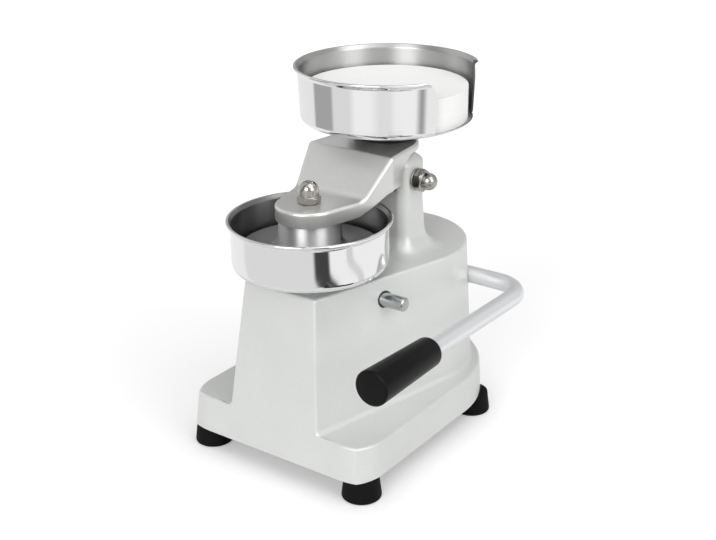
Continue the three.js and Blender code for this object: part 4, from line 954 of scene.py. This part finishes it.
def paperBody(radius, bottom, height, slip, dip, sheets, sag, curl):
    # radius dips between sheets and each sheet slips a little to one side; the top sheet dishes
    angle = fullTurn(160)
    level = np.linspace(0, 1, sheets * 2 + 1)[:, None]
    drift = slip * (np.sin(level * 61) * np.cos(angle) + np.sin(level * 43 + 1) * np.sin(angle)) / 2
    out = radius - slip - dip * (np.arange(len(level)) % 2)[:, None] + drift
    z = bottom + height * level - sag * level * (1 + np.sin(3 * angle)) / 2
    rings = np.stack([out * np.cos(angle), paperY + out * np.sin(angle), z], -1)
    axis, flatTop = np.array([0, paperY, 0]), bottom + height - sag
    fade = np.array([0.97, 0.8, 0.5, 0.2, 0])[:, None]
    lids = axis + (rings[-1:] - axis) * np.stack([fade, fade, 1 + 0 * fade], -1)
    lids[:, :, 2] = flatTop + (lids[:, :, 2] - flatTop) * fade ** 2 - curl * (1 - fade ** 2)
    base = axis + (rings[:1] - axis) * [0, 0, 1]
    return ringSurface(np.concatenate([base, rings, lids]), caps=False)


addPiece("waxed_paper_stack", paperBody(**paperSize), "arm", "paper_stack", "paper", smooth=50)
print("paper stack made")

# Acorn nuts and washers
nutSize = {"flats": 18.2, "hexHeight": 7.6, "dome": 7.9, "neck": 3.8, "chamfer": 1, "hole": 6.3,
           "holeDepth": 13.8}
bossNutSize = {**nutSize, "hexHeight": 5.8, "dome": 8.8, "neck": 4.7}  # fuller dome over a lower hexagon
washerSize = {"radius": 10.3, "thick": 1.5, "hole": 6.3}
nutPlaces = {"hingeX": 44.1, "hingeTurn": 0.42, "washerX": 42.3, "bossZ": 238.1, "bossTurn": 0.25}


def nutBody(flats, hexHeight, dome, neck, chamfer, hole, holeDepth):
    # hexagon radius (flats / 2) / cos(angle from a flat), held under a chamfer cone at both faces,
    # then a short neck and a dome; the threaded hole is a second skin inside
    angle = fullTurn(120)
    fromFlat = (angle + np.pi / 6) % (np.pi / 3) - np.pi / 6
    edge = np.linspace(0, chamfer, 5)
    z = np.concatenate([edge, np.linspace(0.25, 0.7, 4) * hexHeight, hexHeight - edge[::-1]])
    cone = flats / 2 - 0.4 + np.minimum(z * 1.6, np.maximum(hexHeight - z, 0) * 1.75 + 0.1)
    wall = np.minimum(flats / 2 / np.cos(fromFlat), cone[:, None])
    shoulder = hexHeight + neck
    inside = np.array([(0, holeDepth), (hole, holeDepth), (hole, 0.8), (hole + 0.8, 0)])
    rounds = np.concatenate([[(dome + 0.35, hexHeight), (dome, hexHeight + 0.35), (dome, shoulder)],
                             arcPoints(0, shoulder, dome, 0, np.pi / 2, 14, last=True)[1:]])
    rounds[-1, 0] = 0
    radius = np.concatenate([inside[:, :1] + 0 * angle, wall, rounds[:, :1] + 0 * angle])
    height = np.concatenate([inside[:, 1], z, rounds[:, 1]])[:, None] + 0 * radius
    return ringSurface(np.stack([radius * np.cos(angle), radius * np.sin(angle), height], -1), caps=False)


def washerBody(radius, thick, hole):
    # flat ring with rounded outer edges
    return revolve(roundPath([
        (hole, 0.1), (radius, 0.1, 0.5), (radius, thick, 0.5), (hole, thick), (hole, 0.1)], 4), 96)


toRight, toLeft = Matrix.Rotation(np.pi / 2, 4, "Y"), Matrix.Rotation(-np.pi / 2, 4, "Y")
hingeTurn, bossTurn = (Matrix.Rotation(nutPlaces[key], 4, "Z") for key in ("hingeTurn", "bossTurn"))
for side, turn, sign in (("right", toRight, 1), ("left", toLeft, -1)):
    nut, washer = nutBody(**nutSize), washerBody(**washerSize)
    nut.transform(Matrix.Translation((sign * nutPlaces["hingeX"], *hinge)) @ turn @ hingeTurn)
    washer.transform(Matrix.Translation((sign * nutPlaces["washerX"], *hinge)) @ turn)
    addPiece(f"acorn_nut_hinge_{side}", nut, "stand", f"hinge_nut_{side}", "fastener", smooth=30)
    addPiece(f"washer_{side}", washer, "stand", f"hinge_washer_{side}", "fastener")
nut = nutBody(**bossNutSize)
nut.transform(Matrix.Translation((0, bowlY, nutPlaces["bossZ"])) @ bossTurn)
addPiece("acorn_nut_boss", nut, "arm", "plate_nut", "fastener", smooth=30)
print("nuts made")

# Side lever
leverSize = {"x": 128.2, "radius": 8, "bend": 29, "tilt": 1, "leftEnd": -45, "reach": 165, "socket": 75,
             "gripRadius": (13, 15.4), "gripLength": 85.5, "rearEdge": 4.5, "frontEdge": 2, "hole": 8.3}
tilt = np.radians(leverSize["tilt"])
forward = np.array([0, -np.cos(tilt), np.sin(tilt)])


def leverBody():
    # round bar swept along a straight, a quarter circle and a straight that rises by the tilt
    radius, bendRadius, across = leverSize["radius"], leverSize["bend"], np.array([1.0, 0, 0])
    rear, stop = np.array([(leverSize["leftEnd"], *leverAxis), (leverSize["x"] - bendRadius, *leverAxis)])
    centre = stop + forward * bendRadius
    bend = quarterTurn(25)[:, None]
    out = -forward * np.cos(bend) + across * np.sin(bend)
    run = (leverSize["reach"] + leverSize["socket"] - bendRadius) / np.cos(tilt)
    path = np.concatenate([[rear + across * 0.8, rear + across * 1.2], centre + out * bendRadius,
                           [centre + across * bendRadius + forward * run]])
    inward = np.concatenate([[forward, forward], -out, [-across]])
    section = circle(0, 0, radius, 48)
    rings = path[:, None] + inward[:, None] * section[:, :1] + np.cross(across, forward) * section[:, 1:]
    cap = rear + (rings[:1] - rear - across * 0.8) * 0.88
    return ringSurface(np.concatenate([cap, rings]))


def gripBody():
    # slim cone with rounded ends and a blind hole, turned about Z and laid along the bar
    size, run = leverSize, leverSize["reach"] - leverSize["bend"]
    length, depth = size["gripLength"] / np.cos(tilt), size["socket"] / np.cos(tilt) + 0.3
    rear, front = size["gripRadius"]
    profile = roundPath([(size["hole"], depth), (size["hole"], 0, 0.8), (rear, 0, size["rearEdge"]),
                         (front, length, size["frontEdge"]), (0, length)], 8)
    mesh = revolve(np.concatenate([[(0, depth)], profile]), 96)
    y, z = leverAxis[0] - size["reach"], leverAxis[1] + size["bend"] * np.sin(tilt) + run * np.tan(tilt)
    turn = Vector((0, 0, 1)).rotation_difference(Vector(forward)).to_matrix().to_4x4()
    mesh.transform(Matrix.Translation((size["x"], y, z)) @ turn)
    return mesh


addPiece("lever_bar_bent", leverBody(), "lever", "lever_bar", "bar")
addPiece("lever_grip_black", gripBody(), "lever", "lever_grip", "grip")
print("lever made")

# Shaft that stands out of the tower
shaftSize = {"radius": 7.2, "left": -53, "step": 50, "stub": 6.3, "right": 81, "chamfer": 1.2}


def shaftBody(radius, left, step, stub, right, chamfer):
    # turned about Z and laid along X, with a thinner end outside the tower
    shaft = revolve(roundPath([
        (0, left), (radius, left, 1.2), (radius, step, 0.3), (stub, step + 0.5, 0.2),
        (stub, right - chamfer, 0.4), (stub - chamfer, right, 0.4), (0, right)], 5), 72)
    shaft.transform(Matrix.Translation((0, *rockerAxis)) @ toRight)
    return shaft


addPiece("rocker_shaft_zinc", shaftBody(**shaftSize), "stand", "rocker_shaft", "zinc")


# Inner parts, softened copies of their solids
def softened(node, body, slot, bevel=0.4):
    # copy of a solid, merged and cleared of flat seams, with its edges bevelled and smoothed
    mesh = frame["nodes"][node].data.copy()
    work = bmesh.new()
    work.from_mesh(mesh)
    bmesh.ops.remove_doubles(work, verts=work.verts, dist=1e-6)
    bmesh.ops.dissolve_limit(work, angle_limit=np.radians(1), verts=work.verts, edges=work.edges)
    work.to_mesh(mesh)
    work.free()
    piece = addPiece(node + "_soft", mesh, body, node, slot, place=Matrix.Identity(4))
    rounding = piece.modifiers.new("edges", "BEVEL")
    rounding.width, rounding.segments, rounding.limit_method = bevel / 1000, 2, "ANGLE"
    rounding.angle_limit, rounding.harden_normals = np.radians(40), False


for node, body, slot in (
    ("lever_crank", "lever", "steel"), ("press_link", "press_link", "steel"),
    ("push_link", "push_link", "steel"), ("rocker", "rocker", "steel"), ("ejector_rod", "ejector", "turned"),
):
    softened(node, body, slot)
slotOf = {part["node"]: part["material_slot"] for part in frame["record"]["subparts"]}
for name, piece in frame["nodes"].items():
    piece.data.materials.clear()
    piece.data.materials.append(slotMaterials[slotOf[name]])
print("inner parts dressed")

# Studio
studio = {
    "camera": (619.3, -853.7, 588.4), "target": (-0.6, 0, 150.8), "roll": -0.6, "lens": 62.16,
    "ambient": 0.56, "table": {"metallic": 0, "roughness": 0.9, "colour": "#e9e9e9"}, "tableGlow": 0.25,
    # strength, spread in degrees and direction that the light comes from
    "suns": {"key": (1.2, 34, (0.12, -0.89, 0.44)), "fill": (0.6, 34, (0.9, -0.13, 0.42)),
             "top": (0.75, 50, (0.45, -0.05, 0.89))},
    # grey areas of the table that only reflections see: azimuth in degrees and level
    "nearCards": ((-180, 0.95), (-152, 0.95), (-146, 0.8), (-53, 0.8), (-50, 0.06), (-34, 0.06), (-31, 1.0),
                  (-10, 1.0), (-8, 0.74), (-1, 0.74), (2, 1.0), (180, 0.95)),
    "farCards": ((-180, 0.9), (-164, 0.9), (-160, 0.42), (-131, 0.42), (-127, 0.8), (-104, 0.8), (-95, 1.0),
                 (-75, 1.0), (-62, 0.84), (-50, 0.86), (-42, 1.0), (-17, 1.0), (-10, 0.4), (-7, 0.4),
                 (-1, 0.95), (180, 0.9)),
    "roomCards": ((-180, 0.85), (-150, 0.85), (-140, 0.35), (-118, 0.35), (-108, 0.9), (-80, 0.9),
                  (-70, 0.55), (-30, 0.6), (-20, 0.9), (20, 0.9), (30, 0.6), (60, 0.6), (75, 0.7), (90, 0.45),
                  (150, 0.4), (165, 0.8), (180, 0.85)),
    "cardSplit": 0.78, "cardStart": (0.3, 0.4), "cardShift": (0.47, 0.58, 17),
}


def addCamera():
    spot, target = toFrame @ Vector(studio["camera"]), toFrame @ Vector(studio["target"])
    data = bpy.data.cameras.new("camera")
    data.sensor_width, data.lens, data.clip_start, data.clip_end = 36, studio["lens"], 0.05, 50
    camera = addObject("camera", data)
    aim = (target - spot).to_track_quat("-Z", "Y").to_matrix().to_4x4()
    roll = Matrix.Rotation(np.radians(studio["roll"]), 4, "Z")
    camera.matrix_world = Matrix.Translation(spot) @ aim @ roll
    scene.camera = camera


def addSun(name, strength, spread, source):
    # a broad, distant lamp: its light has one level over the whole scene
    data = bpy.data.lights.new(name, "SUN")
    data.energy, data.angle = strength, np.radians(spread)
    addObject(name, data).rotation_euler = Vector(source).to_track_quat("Z", "Y").to_euler()


def levelRamp(tree, angle, stops):
    # grey levels by azimuth in degrees, for an angle in radians
    ramp = addNode(tree, "ValToRGB", {"Fac": mapRange(tree, angle, -np.pi, np.pi)})
    elements = ramp.color_ramp.elements
    for element, (degrees, level) in zip(elements, (stops[0], stops[-1])):
        element.position, element.color = (degrees + 180) / 360, (level, level, level, 1)
    for degrees, level in stops[1:-1]:
        elements.new((degrees + 180) / 360).color = (level, level, level, 1)
    return ramp, "Color"


def addFloor():
    # pale table that keeps its shadows; far from the part, reflections see grey areas on it
    mesh = bpy.data.meshes.new("floor")
    corners = [(-9, -9), (9, -9), (9, 9), (-9, 9)]
    mesh.from_pydata([(*corner, -0.0002) for corner in corners], [], [(0, 1, 2, 3)])
    floor = addObject("floor", mesh)
    material, tree, shader, place = startMaterial("pale table", studio["table"])
    ray = addNode(tree, "LightPath")
    glow = calculate(tree, "MULTIPLY", (ray, "Is Camera Ray"), studio["tableGlow"])
    setInputs(tree, shader, {
        "Specular IOR Level": 0.0, "Emission Color": (1, 1, 1, 1), "Emission Strength": glow})
    centred = onVectors(tree, "SUBTRACT", place, (middle[0], middle[1], 0))
    reach, turn = onVectors(tree, "LENGTH", centred), azimuth(tree, centred)[1]
    inner, outer, shift = studio["cardShift"]
    bend = mapRange(tree, reach, inner, outer, -np.radians(shift), 0.0, interpolation_type="SMOOTHSTEP")
    near = levelRamp(tree, calculate(tree, "ADD", turn, bend), studio["nearCards"])
    far = levelRamp(tree, turn, studio["farCards"])
    split = mapRange(tree, reach, studio["cardSplit"] - 0.02, studio["cardSplit"] + 0.02)
    level = addNode(tree, "Mix", {0: split, 6: near, 7: far}, data_type="RGBA")
    cards = addNode(tree, "Emission", {"Color": (level, 2), "Strength": 1.0})
    away = mapRange(tree, reach, *studio["cardStart"])
    reflected = calculate(tree, "MULTIPLY", (ray, "Is Glossy Ray"), away)
    both = addNode(tree, "MixShader", {0: reflected, 1: (shader, 0), 2: (cards, 0)})
    setInputs(tree, tree.nodes["Material Output"], {"Surface": (both, 0)})
    mesh.materials.append(material)


def addWorld():
    # white to the camera, an even level as light, and a grey room to reflections
    world = bpy.data.worlds.new("studio")
    scene.world = world
    world.use_nodes = True
    tree = world.node_tree
    tree.nodes.clear()
    ray = addNode(tree, "LightPath")
    turn = azimuth(tree, (addNode(tree, "TexCoord"), "Generated"))[1]
    cards = levelRamp(tree, turn, studio["roomCards"])
    light, mirror, white = [
        (addNode(tree, "Background", {"Strength": strength, "Color": colour}), 0)
        for strength, colour in ((studio["ambient"], (1, 1, 1, 1)), (1.0, cards), (1.0, (1, 1, 1, 1)))]
    first = addNode(tree, "MixShader", {0: (ray, "Is Glossy Ray"), 1: light, 2: mirror})
    seen = calculate(tree, "MAXIMUM", (ray, "Is Camera Ray"), (ray, "Is Transmission Ray"))
    second = addNode(tree, "MixShader", {0: seen, 1: (first, 0), 2: white})
    addNode(tree, "OutputWorld", {0: (second, 0)})


addCamera()
for name, sun in studio["suns"].items():
    addSun(name, *sun)
addFloor()
addWorld()
print("studio made")
